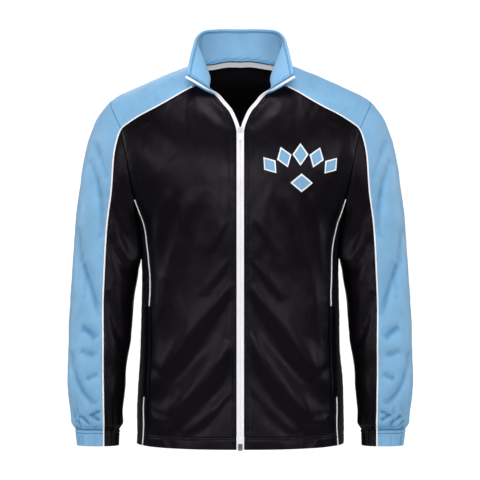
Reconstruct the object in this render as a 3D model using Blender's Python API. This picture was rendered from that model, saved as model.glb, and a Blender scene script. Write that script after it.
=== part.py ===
"""Track jacket: a zip-through sports jacket, filled out as worn, with its zip part open.

The origin is the base of the neck, midway between the two shoulder points.
+Z is up, the front faces -Y and the wearer's left is +X. All sizes are in metres.
Each cut piece is a thin closed wall. Its outer face lies on one of three shapes:
the torso, a sleeve or the collar. Pieces that share a seam share its points.
"""

import math
from collections import namedtuple

import bmesh
import bpy
import numpy as np
from mathutils import Matrix, Vector

# Walls and gaps
WALL = 0.0015
HEM_WALL = 0.0030
HEM_HEIGHT = 0.020
COLLAR_WALL = 0.0024
CUFF_WALL = 0.0026
SEAM_GAP = 0.0003
COLLAR_GAP = 0.0009
COLLAR_TAPE_GAP = 0.0012
TWISTED_TEETH_GAP = 0.0008
HEM_EDGE = 0.004

# Levels and widths of the body
HEM_Z = -0.686
SHOULDER_POINT_X = 0.097
NECK_RISE = 0.030
RIDGE_Y = 0.010
SECTION_POWER = 2.5
BACK_CAP = 0.150
FRONT_CAP_CENTRE = 0.260
FRONT_CAP_SLOPE = 0.667

# Sleeves
SLEEVE_POWER = 2.3
SLEEVE_RINGS = 19
CUFF_RINGS = 2
ARMHOLE_REACH = 5.0
GATHER_START = 15.0
GATHER_RUN = 3.0
GATHER_DEPTH = 0.0016
GATHER_CREST = 0.35
FOLDS_END = 16.0
LEAN_GAP = 0.0016
LEAN_Y = -0.006
LEAN_REACH = 0.030
LEAN_FOOT_Z = -0.374
LEAN_RUN = 0.028
LEAN_INNER_X = 0.208
LEAN_FADE = 0.030
LEAN_FROM_RING = 0.4
LEAN_RINGS = 1.6

# Trims
PIPING_HALF = 0.0015
PIPING_TOP_HALF = 0.0009
PIPING_LIFT = 0.0005
PIPING_HEIGHT = 0.0013
ZIP_EDGE_X = 0.0067
TAPE_WIDTH = 0.0062
TAPE_WALL = 0.0010
CHAIN_WIDTH = 0.0027
CHAIN_HEIGHT = 0.0010
CHAIN_TOP_SHARE = 0.8
NECK_TAPE_HEIGHT = 0.010
NECK_TAPE_WALL = 0.0010
NECK_TAPE_START = 0.0020
NECK_TAPE_LIFT = 0.0006
PIPING_NECK_SHARE = 0.045
SIDE_PIPING_START = 0.016
SIDE_PIPING_STOP_Z = -0.4350
SIDE_PIPING_RESUME_Z = -0.5990
WELT_WALL = 0.0015
WELT_LIFT = 0.0009
WELT_TOP_Z = -0.4370
WELT_FOOT_Z = -0.5975
WELT_TOP_X = (0.1590, 0.1700)
WELT_FOOT_X = (0.1610, 0.1735)
WELT_ROWS = 8
WELT_COLUMNS = 2

# Slider and pull tab
SLIDER_Z = -0.1235
SLIDER_HEIGHT = 0.0112
SLIDER_WIDTH = 0.0086
PLATE_WALL = 0.0013
POST_HALF = 0.0008
POST_DEPTH = (0.0034, 0.0052)
BRIDGE_FOOT = (-0.0032, -0.0020)
BRIDGE_HEAD = (0.0028, 0.0040)
BRIDGE_RISE = 0.0022
BRIDGE_WALL = 0.0010
OVERLAP = 0.0004
HINGE_Y = -0.0010
HINGE_RISE = 0.0013
TAB_LENGTH = 0.0195
TAB_WIDTH = 0.0052
TAB_WALL = 0.0011
TAB_EYE = 0.0066
TAB_EYE_HALF = 0.0013
TAB_EYE_CUT = 0.01
TAB_REST_ANGLE = -6.0
BOX_TOP_Z = -0.6755
BOX_FOOT_Z = -0.6872
BOX_HALF = 0.0036
BOX_WALL = 0.0024

# Segments along each seam, shared by the pieces on both sides of it
YOKE_SEAM = 10
YOKE_ARMHOLE = 10
FRONT_NECK = 4
BACK_NECK = 3
FRONT_ARMHOLE = 5
SIDE_ARMHOLE = 4
BACK_ARMHOLE = 7
SIDE_ROWS = 24
BACK_ROWS = 13
COLLAR_ROWS = 4
ZIP_V_ROWS = 5

BLUE = (0.205, 0.430, 0.680)
BLACK = (0.012, 0.011, 0.013)
WHITE = (0.860, 0.860, 0.880)
METAL = (0.120, 0.120, 0.130)

# The body's half width and its half depths, front and back, level by level
Level = namedtuple("Level", "z half_width front_depth back_depth")
BODY = [
    Level(-0.700, 0.1885, 0.132, 0.121),
    Level(-0.620, 0.1885, 0.130, 0.117),
    Level(-0.590, 0.1870, 0.129, 0.115),
    Level(-0.557, 0.1847, 0.128, 0.113),
    Level(-0.530, 0.1825, 0.128, 0.111),
    Level(-0.450, 0.1808, 0.127, 0.109),
    Level(-0.357, 0.1800, 0.130, 0.113),
    Level(-0.320, 0.1812, 0.133, 0.118),
    Level(-0.285, 0.1870, 0.135, 0.122),
    Level(-0.238, 0.2150, 0.136, 0.126),
    Level(-0.200, 0.2350, 0.136, 0.128),
    Level(-0.150, 0.2500, 0.134, 0.128),
    Level(-0.100, 0.2620, 0.129, 0.126),
    Level(-0.050, 0.2680, 0.121, 0.122),
    Level(0.040, 0.2700, 0.112, 0.117),
]

# The shoulder line, from the shoulder point at the neck to the top of the armhole
Ridge = namedtuple("Ridge", "x z")
SHOULDER = [
    Ridge(0.0970, 0.0000),
    Ridge(0.1400, -0.0175),
    Ridge(0.2000, -0.0440),
    Ridge(0.2240, -0.0555),
    Ridge(0.2408, -0.0674),
    Ridge(0.2700, -0.0920),
]

# Seam lines on the body, seen from the front. The back ones repeat them
Spot = namedtuple("Spot", "x z")
YOKE_LINE = [
    Spot(0.0795, -0.0400),
    Spot(0.0986, -0.0492),
    Spot(0.1209, -0.0634),
    Spot(0.1524, -0.0811),
    Spot(0.1729, -0.0909),
    Spot(0.1919, -0.1018),
    Spot(0.2150, -0.1175),
]
ARMHOLE_LINE = [
    Spot(0.2408, -0.0674),
    Spot(0.2335, -0.0790),
    Spot(0.2250, -0.0960),
    Spot(0.2150, -0.1175),
    Spot(0.2090, -0.1440),
    Spot(0.2029, -0.1753),
    Spot(0.1968, -0.2093),
    Spot(0.1903, -0.2398),
]
SIDE_LINE = [
    Spot(0.1903, -0.2398),
    Spot(0.1816, -0.2648),
    Spot(0.1746, -0.2845),
    Spot(0.1690, -0.3078),
    Spot(0.1648, -0.3347),
    Spot(0.1628, -0.3633),
    Spot(0.1613, -0.4081),
    Spot(0.1620, -0.4386),
    Spot(0.1721, -0.5854),
    Spot(0.1737, -0.6200),
    Spot(0.1730, -0.6500),
    Spot(0.1752, HEM_Z),
]
FRONT_NECK_LINE = [
    Spot(0.0430, -0.0585),
    Spot(0.0530, -0.0545),
    Spot(0.0640, -0.0490),
    Spot(0.0795, -0.0400),
]
ZIP_V_LINE = [
    Spot(0.0430, -0.0585),
    Spot(0.0362, -0.0697),
    Spot(0.0194, -0.0896),
    Spot(0.0132, -0.1030),
    Spot(0.0092, -0.1140),
    Spot(ZIP_EDGE_X, -0.1240),
]
ZIP_V_END_Z = -0.1240
ARMPIT = Spot(0.1870, -0.2850)
UNDERARM_LINE = [
    Spot(0.1903, -0.2398),
    Spot(0.1885, -0.2560),
    Spot(0.1872, -0.2720),
    ARMPIT,
]
NECK_END_LINE = [Spot(0.0795, -0.0400), Spot(0.0880, -0.0285), Spot(0.0945, -0.0125)]

# The back neck seam, seen from above, from the shoulder point to the centre back
Plan = namedtuple("Plan", "x y")
BACK_NECK_LINE = [
    Plan(0.0930, 0.0270),
    Plan(0.0800, 0.0400),
    Plan(0.0480, 0.0560),
    Plan(0.0000, 0.0620),
]

# Sleeve rings fan out from the armpit. piping is the share of the width from the outer edge
Ring = namedtuple("Ring", "outer_x outer_z inner_x inner_z depth middle_y piping")
SLEEVE = [
    Ring(0.2408, -0.0674, 0.1870, -0.2850, 0.070, 0.010, 0.280),
    Ring(0.2620, -0.0970, 0.1868, -0.2900, 0.070, 0.010, 0.360),
    Ring(0.2770, -0.1350, 0.1865, -0.2970, 0.068, 0.010, 0.455),
    Ring(0.2860, -0.1750, 0.1860, -0.3060, 0.066, 0.010, 0.500),
    Ring(0.2920, -0.2150, 0.1855, -0.3180, 0.064, 0.010, 0.508),
    Ring(0.2975, -0.2580, 0.1850, -0.3340, 0.062, 0.010, 0.508),
    Ring(0.3015, -0.3000, 0.1845, -0.3520, 0.060, 0.009, 0.506),
    Ring(0.3040, -0.3420, 0.1860, -0.3760, 0.058, 0.008, 0.510),
    Ring(0.3070, -0.3850, 0.1900, -0.4020, 0.056, 0.006, 0.526),
    Ring(0.3095, -0.4250, 0.1940, -0.4300, 0.055, 0.004, 0.544),
    Ring(0.3118, -0.4620, 0.1960, -0.4620, 0.053, 0.001, 0.562),
    Ring(0.3127, -0.4950, 0.1985, -0.4950, 0.052, -0.002, 0.582),
    Ring(0.3127, -0.5250, 0.2035, -0.5250, 0.050, -0.005, 0.608),
    Ring(0.3127, -0.5550, 0.2075, -0.5550, 0.048, -0.008, 0.631),
    Ring(0.3127, -0.5830, 0.2090, -0.5830, 0.046, -0.011, 0.645),
    Ring(0.3110, -0.6060, 0.2110, -0.6060, 0.043, -0.013, 0.653),
    Ring(0.3085, -0.6250, 0.2127, -0.6250, 0.039, -0.015, 0.655),
    Ring(0.3050, -0.6410, 0.2140, -0.6410, 0.034, -0.016, 0.653),
    Ring(0.3026, -0.6530, 0.2155, -0.6530, 0.029, -0.017, 0.653),
    Ring(0.3018, -0.6620, 0.2162, -0.6620, 0.026, -0.017, 0.654),
    Ring(0.3000, -0.6770, 0.2170, -0.6770, 0.026, -0.017, 0.652),
    Ring(0.2980, -0.6916, 0.2175, -0.6916, 0.027, -0.017, 0.650),
]

# The collar above the neck seam, from the centre back (along 0) to the zip (along 1)
Stand = namedtuple("Stand", "along mid_x mid_y mid_z top_x top_y top_z")
COLLAR = [
    Stand(0.000, 0.0000, 0.0580, 0.0440, 0.0000, 0.0500, 0.0723),
    Stand(0.200, 0.0460, 0.0520, 0.0430, 0.0420, 0.0445, 0.0718),
    Stand(0.355, 0.0755, 0.0340, 0.0380, 0.0690, 0.0290, 0.0665),
    Stand(0.480, 0.0800, 0.0080, 0.0280, 0.0815, 0.0040, 0.0520),
    Stand(0.605, 0.0690, -0.0160, 0.0090, 0.0865, -0.0240, 0.0320),
    Stand(0.718, 0.0620, -0.0360, -0.0080, 0.0905, -0.0480, 0.0120),
    Stand(0.827, 0.0560, -0.0560, -0.0260, 0.0938, -0.0680, -0.0070),
    Stand(1.000, 0.0690, -0.0850, -0.0410, 0.0956, -0.0840, -0.0246),
]

# The largest folds, seen from their face: a soft trough (depth below 0) or ridge along a bent line,
# or a bank, which falls from a ridge on the line's outer side to a trough on the zip's side
Fold = namedtuple("Fold", "face side x0 z0 x1 z1 x2 z2 width depth shape", defaults=["crease"])
BOTH, LEFT, RIGHT = 0, 1, -1
BODY_FOLDS = [
    Fold("front", BOTH, 0.066, -0.078, 0.040, -0.100, 0.018, -0.124, 0.008, -0.0025),
    Fold("front", BOTH, 0.168, -0.110, 0.150, -0.150, 0.126, -0.176, 0.020, -0.0030),
    Fold("front", BOTH, 0.160, -0.540, 0.146, -0.556, 0.128, -0.560, 0.009, -0.0020),
    Fold("front", RIGHT, 0.118, -0.232, 0.138, -0.301, 0.150, -0.377, 0.014, -0.0028, "bank"),
    Fold("front", RIGHT, 0.066, -0.229, 0.099, -0.304, 0.147, -0.502, 0.017, -0.0026, "bank"),
    Fold("front", RIGHT, 0.011, -0.398, 0.083, -0.502, 0.162, -0.605, 0.017, -0.0046, "bank"),
    Fold("front", RIGHT, 0.013, -0.500, 0.038, -0.580, 0.145, -0.664, 0.019, -0.0048, "bank"),
    Fold("front", LEFT, 0.116, -0.236, 0.131, -0.331, 0.161, -0.419, 0.014, -0.0028, "bank"),
    Fold("front", LEFT, 0.063, -0.236, 0.109, -0.320, 0.133, -0.496, 0.017, -0.0026, "bank"),
    Fold("front", LEFT, 0.015, -0.401, 0.071, -0.502, 0.165, -0.609, 0.017, -0.0046, "bank"),
    Fold("front", LEFT, 0.015, -0.482, 0.036, -0.582, 0.144, -0.664, 0.019, -0.0048, "bank"),
    Fold("back", LEFT, 0.030, -0.200, 0.070, -0.300, 0.085, -0.390, 0.015, -0.0045),
    Fold("back", RIGHT, 0.040, -0.180, 0.065, -0.290, 0.100, -0.370, 0.015, -0.0045),
    Fold("back", BOTH, 0.172, -0.250, 0.110, -0.290, 0.060, -0.280, 0.013, -0.0040),
    Fold("back", LEFT, 0.176, -0.400, 0.110, -0.430, 0.020, -0.415, 0.014, -0.0055),
    Fold("back", RIGHT, 0.176, -0.430, 0.100, -0.470, 0.010, -0.450, 0.014, -0.0055),
    Fold("back", BOTH, 0.020, -0.490, 0.090, -0.560, 0.120, -0.640, 0.015, -0.0050),
]
SLEEVE_FOLDS = [
    Fold("front", BOTH, 0.238, -0.120, 0.250, -0.150, 0.252, -0.190, 0.010, -0.0035),
    Fold("front", BOTH, 0.283, -0.310, 0.276, -0.390, 0.256, -0.450, 0.010, -0.0040),
    Fold("front", BOTH, 0.232, -0.250, 0.205, -0.300, 0.190, -0.350, 0.012, -0.0045),
    Fold("front", BOTH, 0.292, -0.490, 0.270, -0.500, 0.244, -0.485, 0.008, -0.0035),
    Fold("front", BOTH, 0.306, -0.530, 0.290, -0.570, 0.268, -0.602, 0.009, -0.0040),
    Fold("front", BOTH, 0.240, -0.410, 0.222, -0.470, 0.206, -0.520, 0.010, -0.0040),
    Fold("back", BOTH, 0.285, -0.360, 0.250, -0.400, 0.205, -0.395, 0.010, -0.0045),
    Fold("back", BOTH, 0.295, -0.450, 0.250, -0.470, 0.208, -0.450, 0.009, -0.0040),
    Fold("back", BOTH, 0.230, -0.180, 0.262, -0.260, 0.250, -0.330, 0.012, -0.0040),
    Fold("back", BOTH, 0.300, -0.560, 0.262, -0.600, 0.225, -0.590, 0.009, -0.0035),
]
FOLD_STEPS = 14
BANK_START = 0.55
CALM_FROM_X = 0.008
CALM_RUN = 0.016


# ---------------------------------------------------------------- smooth tables and vectors


def through(keys, values):
    """A smooth function that passes through each row of values at its key."""
    keys = np.asarray(keys, float)
    values = np.asarray(values, float).reshape(len(keys), -1)
    slopes = np.gradient(values, keys, axis=0)

    def at(key):
        key = np.clip(np.asarray(key, float), keys[0], keys[-1])
        low = np.clip(np.searchsorted(keys, key, side="right") - 1, 0, len(keys) - 2)
        span = keys[low + 1] - keys[low]
        t = ((key - keys[low]) / span)[..., None]
        span = span[..., None]
        start = (1 + 2 * t) * (1 - t) ** 2 * values[low] + t * (1 - t) ** 2 * span * slopes[low]
        end = t**2 * (3 - 2 * t) * values[low + 1] - t**2 * (1 - t) * span * slopes[low + 1]
        return start + end

    return at


def spaced(points, segments):
    """The points of a smooth line through the given ones, evenly spaced."""
    points = np.asarray(points, float)
    steps = np.linalg.norm(np.diff(points, axis=0), axis=1)
    along = np.concatenate([[0.0], np.cumsum(steps)])
    return through(along, points)(np.linspace(0.0, along[-1], segments + 1))


def unit(vectors):
    return vectors / np.maximum(np.linalg.norm(vectors, axis=-1, keepdims=True), 1e-12)


def soft(t):
    t = np.clip(t, 0.0, 1.0)
    return t * t * (3 - 2 * t)


# ---------------------------------------------------------------- folds


def fold_line(fold):
    t = np.linspace(0, 1, FOLD_STEPS + 1)[:, None]
    ends = np.array([[fold.x0, fold.z0], [fold.x1, fold.z1], [fold.x2, fold.z2]])
    return (1 - t) ** 2 * ends[0] + 2 * t * (1 - t) * ends[1] + t**2 * ends[2]


def fold_height(fold, spots):
    """How far one fold lifts the cloth at each (x, z) spot."""
    line = fold_line(fold)
    start, step = line[:-1], np.diff(line, axis=0)
    offset = spots[:, None, :] - start[None]
    share = np.clip((offset * step).sum(-1) / (step**2).sum(-1), 0, 1)
    distance = np.linalg.norm(offset - share[..., None] * step[None], axis=-1)
    nearest = distance.argmin(1)
    rows = np.arange(len(spots))
    along = (nearest + share[rows, nearest]) / FOLD_STEPS
    taper = np.sqrt(np.clip(np.sin(math.pi * along), 0, 1))
    reach = distance[rows, nearest] / fold.width
    if fold.shape == "crease":
        return fold.depth * np.exp(-(reach**2)) * taper
    aside = offset[rows, nearest, 0] * step[nearest, 1] - offset[rows, nearest, 1] * step[nearest, 0]
    reach = reach / (BANK_START + (1 - BANK_START) * soft(2 * along))
    return fold.depth * taper * np.sign(aside) * reach * np.exp(0.5 * (1 - reach**2))


def folded(points, normals, folds, strength=1.0):
    """The points pushed along their normals by every fold on their face and side."""
    flat, out = points.reshape(-1, 3), normals.reshape(-1, 3)
    spots = np.stack([np.abs(flat[:, 0]), flat[:, 2]], axis=1)
    lift = np.zeros(len(flat))
    for fold in folds:
        facing = soft((out[:, 1] * (1 if fold.face == "back" else -1) - 0.10) / 0.5)
        if fold.side != BOTH:
            facing = facing * (np.sign(flat[:, 0]) == fold.side)
        lift += facing * fold_height(fold, spots)
    lift = lift.reshape(points.shape[:-1]) * strength
    return points + lift[..., None] * normals


# ---------------------------------------------------------------- the torso


BODY_AT = through([level.z for level in BODY], [level[1:] for level in BODY])
SHOULDER_AT = through([row.x for row in SHOULDER], [row.z for row in SHOULDER])


def ridge_z(x):
    """Height of the shoulder line, carried on over the neck opening as a low arch."""
    x = np.abs(x)
    arch = NECK_RISE * (1 - (x / SHOULDER_POINT_X) ** 2)
    return np.where(x < SHOULDER_POINT_X, arch, SHOULDER_AT(x)[..., 0])


def cap_height(x, v):
    return np.where(v > 0, BACK_CAP, FRONT_CAP_CENTRE - FRONT_CAP_SLOPE * np.abs(x))


def torso_point(p, v):
    """p runs from -1 to 1 side to side, v from the shoulder line down: front below 0, back above."""
    p, v = np.broadcast_arrays(np.asarray(p, float), np.asarray(v, float))
    across, reach = np.sin(p * math.pi / 2), np.abs(v)
    x = 0.2 * across
    for _ in range(12):
        cap = cap_height(x, v)
        drop = np.where(reach < math.pi / 2, 1 - np.cos(reach), 1 + reach - math.pi / 2)
        z = ridge_z(x) - cap * drop
        x = BODY_AT(z)[..., 0] * across
    depth = np.where(v > 0, BODY_AT(z)[..., 2], -BODY_AT(z)[..., 1])
    round_side = np.sqrt(1 - np.minimum(np.abs(across), 1) ** SECTION_POWER)
    round_side = round_side * np.sign(np.cos(p * math.pi / 2) + 1e-15)
    y = RIDGE_Y + depth * round_side * np.sin(np.minimum(reach, math.pi / 2))
    return np.stack([x, y, z], axis=-1)


def torso_place(x, z, back=False):
    """The (p, v) of the spot that shows at (x, z) from the front, or from the back."""
    x, z = np.asarray(x, float), np.asarray(z, float)
    side = 1.0 if back else -1.0
    p = np.arcsin(np.clip(x / BODY_AT(z)[..., 0], -1, 1)) * 2 / math.pi
    share = np.maximum(ridge_z(x) - z, 0) / cap_height(x, side)
    reach = np.where(share < 1, np.arccos(1 - np.minimum(share, 1)), math.pi / 2 + share - 1)
    return np.stack([p, side * reach], axis=-1)


def torso_surface(places):
    """Points and outward normals, folds included, at rows of (p, v)."""
    p, v = places[..., 0], places[..., 1]
    step = 1e-4
    across = torso_point(p + step, v) - torso_point(p - step, v)
    down = torso_point(p, v + step) - torso_point(p, v - step)
    normals = unit(np.cross(across, down))
    points = torso_point(p, v)
    calm = soft((np.abs(points[..., 0]) - CALM_FROM_X) / CALM_RUN)
    return folded(points, normals, BODY_FOLDS, calm), normals


def on_torso(spots, segments, back=False):
    """Evenly spaced (p, v) along a line of spots."""
    line = spaced([(spot[0], spot[1]) for spot in spots], segments)
    return torso_place(line[:, 0], line[:, 1], back)


def mirrored(places):
    return places * np.array([-1.0, 1.0])


def joined(*lines):
    """Lines end to end, each shared end kept once."""
    return np.concatenate([lines[0]] + [line[1:] for line in lines[1:]])


def patch(top, bottom, left, right):
    """A grid of (p, v) that fills four edge lines: top and bottom run left to right."""
    rows, columns = len(left), len(top)
    u = np.linspace(0, 1, columns)[None, :, None]
    w = np.linspace(0, 1, rows)[:, None, None]
    ruled = (1 - w) * top[None] + w * bottom[None] + (1 - u) * left[:, None] + u * right[:, None]
    corners = (1 - w) * ((1 - u) * top[0] + u * top[-1]) + w * ((1 - u) * bottom[0] + u * bottom[-1])
    return ruled - corners


# ---------------------------------------------------------------- seam lines of the left half


def zip_edge_line():
    """The zip's edge from the neck seam down to the hem: an open V, then straight."""
    open_part = spaced(ZIP_V_LINE, ZIP_V_ROWS)
    rows = FRONT_ARMHOLE + SIDE_ROWS - ZIP_V_ROWS
    closed_z = np.linspace(ZIP_V_END_Z, HEM_Z, rows + 1)
    closed = np.stack([np.full(rows + 1, ZIP_EDGE_X), closed_z], axis=1)
    line = joined(open_part, closed)
    return torso_place(line[:, 0], line[:, 1])


def yoke_end_line(front, back, segments):
    """From a front spot over the shoulder line to a back spot, by equal steps of v."""
    share = np.linspace(-1, 1, segments + 1)
    v = np.where(share < 0, -share * front[0][1], share * back[0][1])
    p_front = np.interp(v, [row[1] for row in front], [row[0] for row in front])
    p_back = np.interp(v, [row[1] for row in back[::-1]], [row[0] for row in back[::-1]])
    return np.stack([np.where(v < 0, p_front, p_back), v], axis=-1)


def ridge_place(x):
    """The (p, v) of a spot on the shoulder line."""
    place = torso_place(x, ridge_z(np.asarray(x, float)))
    return np.array([place[0], 0.0])


def neck_yoke_line():
    front = [torso_place(spot.x, spot.z) for spot in NECK_END_LINE]
    back = [back_neck_place(*BACK_NECK_LINE[1]), back_neck_place(*BACK_NECK_LINE[0])]
    top = ridge_place(SHOULDER_POINT_X)
    return yoke_end_line(np.vstack([front, top]), np.vstack([back, top]), YOKE_ARMHOLE)


def back_neck_place(x, y):
    """The (p, v) of a back neck spot given from above."""
    z = 0.0
    for _ in range(20):
        width, _, depth = BODY_AT(z)
        share = (y - RIDGE_Y) / (depth * math.sqrt(1 - (x / width) ** SECTION_POWER))
        reach = math.asin(share)
        z = float(ridge_z(x)) - BACK_CAP * (1 - math.cos(reach))
    return np.array([math.asin(x / width) * 2 / math.pi, reach])


def hem_place(x_share, back=False):
    """(p, v) on the hem for shares 0 to 1 of the quarter turn from the centre to the side."""
    p = np.asarray(x_share, float)
    x = BODY_AT(HEM_Z)[0] * np.sin(p * math.pi / 2)
    return torso_place(x, np.full_like(x, HEM_Z), back)


def side_edge(rows, back=False):
    """The body's outermost line, from the armpit down to the hem."""
    z = np.linspace(ARMPIT.z, HEM_Z, rows + 1)
    line = torso_place(BODY_AT(z)[:, 0], z, back)
    line[:, 0] = 1.0
    return line


def armhole_top(back):
    """The armhole's line above the yoke seam, up to the shoulder line."""
    spots = ARMHOLE_LINE[ARMHOLE_LINE.index(YOKE_LINE[-1]) : 0 : -1]
    places = [torso_place(spot.x, spot.z, back) for spot in spots]
    return np.array([*places, ridge_place(ARMHOLE_LINE[0].x)])


def left_seams():
    """Every seam line of the left half, as rows of (p, v)."""
    seams = {}
    seams["zip"] = zip_edge_line()
    seams["neck_front"] = on_torso(FRONT_NECK_LINE, FRONT_NECK)
    seams["yoke_front"] = on_torso(YOKE_LINE, YOKE_SEAM)
    low_armhole = ARMHOLE_LINE[ARMHOLE_LINE.index(YOKE_LINE[-1]) :]
    seams["armhole_front"] = on_torso(low_armhole, FRONT_ARMHOLE)
    seams["armhole_side"] = on_torso(UNDERARM_LINE, SIDE_ARMHOLE)
    seams["armhole_side"][-1][0] = 1.0
    seams["side_front"] = on_torso(SIDE_LINE, SIDE_ROWS)
    seams["side_edge"] = side_edge(SIDE_ROWS)
    seams["side_back"] = side_edge(BACK_ROWS, back=True)
    back_armhole = UNDERARM_LINE[:0:-1] + low_armhole[::-1]
    seams["armhole_back"] = on_torso(back_armhole, BACK_ARMHOLE, back=True)
    seams["armhole_back"][0] = seams["side_back"][0]
    yoke_back = on_torso(YOKE_LINE, YOKE_SEAM, back=True)
    fade = np.linspace(1, 0, YOKE_SEAM + 1)[:, None] ** 2
    seams["yoke_back"] = yoke_back + fade * (back_neck_place(*BACK_NECK_LINE[1]) - yoke_back[0])
    seams["armhole_yoke"] = yoke_end_line(armhole_top(False), armhole_top(True), YOKE_ARMHOLE)
    seams["neck_yoke"] = neck_yoke_line()
    neck_back = [back_neck_place(*spot) for spot in BACK_NECK_LINE[1:]]
    seams["neck_back"] = spaced(neck_back, BACK_NECK)
    columns = FRONT_NECK + YOKE_SEAM
    zip_foot, side_foot = seams["zip"][-1][0], seams["side_front"][-1][0]
    seams["hem_front"] = hem_place(np.linspace(zip_foot, side_foot, columns + 1))
    seams["hem_side"] = hem_place(np.linspace(side_foot, 1, SIDE_ARMHOLE + 1))
    seams["hem_side"][-1] = seams["side_edge"][-1]
    return seams


# ---------------------------------------------------------------- a sleeve


RING_AT = through(range(len(SLEEVE)), SLEEVE)
LOOP = YOKE_ARMHOLE + BACK_ARMHOLE + SIDE_ARMHOLE + FRONT_ARMHOLE


def sleeve_angle(ring, column):
    """Angle round a ring: 0 at the outer edge, a half turn at the inner edge, front positive."""
    share = RING_AT(ring)[..., 6]
    level = 1 - 2 * share
    piping = np.arccos(np.sign(level) * np.abs(level) ** (SLEEVE_POWER / 2))
    outer = piping * (1 - 2 * column / YOKE_ARMHOLE)
    under_share = (column - YOKE_ARMHOLE) / (LOOP - YOKE_ARMHOLE)
    under = -piping - under_share * (2 * math.pi - 2 * piping)
    return np.where(column <= YOKE_ARMHOLE, outer, under)


def sleeve_plain(ring, column):
    """A point of the sleeve before it is drawn to the armhole."""
    ring, column = np.broadcast_arrays(np.asarray(ring, float), np.asarray(column, float))
    row = RING_AT(ring)
    angle = sleeve_angle(ring, column)
    power = 2 / SLEEVE_POWER
    cosine = np.sign(np.cos(angle)) * np.abs(np.cos(angle)) ** power
    sine = np.sign(np.sin(angle)) * np.abs(np.sin(angle)) ** power
    x = (row[..., 0] + row[..., 2]) / 2 + (row[..., 0] - row[..., 2]) / 2 * cosine
    z = (row[..., 1] + row[..., 3]) / 2 + (row[..., 1] - row[..., 3]) / 2 * cosine
    y = row[..., 5] - row[..., 4] * sine
    return np.stack([x, y, z], axis=-1)


def leant(points, strength):
    """The sleeve's inner face laid against the body's side below the armhole."""
    x, y, z = np.moveaxis(points, -1, 0)
    level = BODY_AT(z)
    reach = (y - RIDGE_Y) / np.where(y < RIDGE_Y, level[..., 1], level[..., 2])
    side = level[..., 0] * np.maximum(1 - reach**2, 0) ** (1 / SECTION_POWER)
    apart = np.maximum(x - side - LEAN_GAP, 0)
    share = np.exp(-(((y - LEAN_Y) / LEAN_REACH) ** 4)) * soft((z - LEAN_FOOT_Z) / LEAN_RUN)
    share = share * strength * (1 - soft((x - LEAN_INNER_X) / LEAN_FADE))
    return np.stack([x - apart * share, y, z], axis=-1)


def sleeve_grid(armhole):
    """Points and normals of rings by columns. The first ring is the armhole itself."""
    rings = np.arange(len(SLEEVE), dtype=float)[:, None]
    columns = np.arange(LOOP + 1, dtype=float)[None, :]
    pull = armhole - sleeve_plain(0.0, columns[0])

    def surface(ring, column):
        ring, column = np.broadcast_arrays(ring, column)
        wrapped = column % LOOP
        near = np.floor(wrapped).astype(int)
        share = (wrapped - near)[..., None]
        drawn = pull[near % LOOP] * (1 - share) + pull[(near + 1) % LOOP] * share
        plain = sleeve_plain(ring, wrapped) + drawn * (1 - soft(ring / ARMHOLE_REACH))[..., None]
        return leant(plain, soft((ring - LEAN_FROM_RING) / LEAN_RINGS))

    step = 0.02
    along = surface(rings + step, columns) - surface(np.maximum(rings - step, 0), columns)
    around = surface(rings, columns + step) - surface(rings, columns - step)
    normals = unit(np.cross(along, around))
    points = surface(rings, columns)
    strength = soft(rings / 2.0) * (1 - soft((rings - FOLDS_END) / GATHER_RUN))
    points = folded(points, normals, SLEEVE_FOLDS, strength)
    pleats = np.where(columns % 2 == 0, GATHER_CREST, -1.0)
    gather = GATHER_DEPTH * soft((rings - GATHER_START) / GATHER_RUN) * pleats
    return points + gather[..., None] * normals, normals


# ---------------------------------------------------------------- the collar


COLLAR_AT = through([row.along for row in COLLAR], [row[1:] for row in COLLAR])


def collar_grid(neck):
    """Points from the neck seam up to the top edge, right zip edge to left zip edge."""
    half = len(neck) // 2
    steps = np.linalg.norm(np.diff(neck[half:], axis=0), axis=1)
    along = np.concatenate([[0.0], np.cumsum(steps)]) / steps.sum()
    stand = COLLAR_AT(along)
    stand = np.concatenate([stand[:0:-1] * np.array([-1, 1, 1, -1, 1, 1]), stand])
    middle, top = stand[:, :3], stand[:, 3:]
    t = np.linspace(0, 1, COLLAR_ROWS + 1)[:, None, None]
    points = neck * (1 - t) * (1 - 2 * t) + middle * 4 * t * (1 - t) + top * t * (2 * t - 1)
    along_seam, up = np.gradient(points, axis=1), np.gradient(points, axis=0)
    return points, unit(np.cross(up, along_seam))


# ---------------------------------------------------------------- solids


def material(name, colour, roughness, metallic=0.0, sheen=0.0):
    found = bpy.data.materials.get(name)
    if found:
        return found
    made = bpy.data.materials.new(name)
    made.use_nodes = True
    shader = made.node_tree.nodes["Principled BSDF"]
    shader.inputs["Base Color"].default_value = (*colour, 1.0)
    shader.inputs["Roughness"].default_value = roughness
    shader.inputs["Metallic"].default_value = metallic
    shader.inputs["Sheen Weight"].default_value = sheen
    made.diffuse_color = (*colour, 1.0)
    return made


def finishes():
    return {
        "blue": material("light blue tricot", BLUE, 0.55, sheen=0.3),
        "black": material("black tricot", BLACK, 0.45, sheen=0.2),
        "white": material("white satin trim", WHITE, 0.5),
        "zip": material("white zip", WHITE, 0.4),
        "metal": material("dark zip end", METAL, 0.35, metallic=0.8),
    }


def make_object(name, points, faces, finish):
    """An object whose four-sided faces are cut along the shorter diagonal, as on its neighbours."""
    mesh = bpy.data.meshes.new(name)
    mesh.from_pydata([tuple(point) for point in points], [], faces)
    mesh.materials.append(finish)
    cut = bmesh.new()
    cut.from_mesh(mesh)
    bmesh.ops.triangulate(cut, faces=cut.faces, quad_method="SHORT_EDGE")
    cut.to_mesh(mesh)
    cut.free()
    mesh.shade_smooth()
    mesh.set_sharp_from_angle(angle=math.radians(40))
    made = bpy.data.objects.new(name, mesh)
    bpy.context.scene.collection.objects.link(made)
    return made


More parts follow.
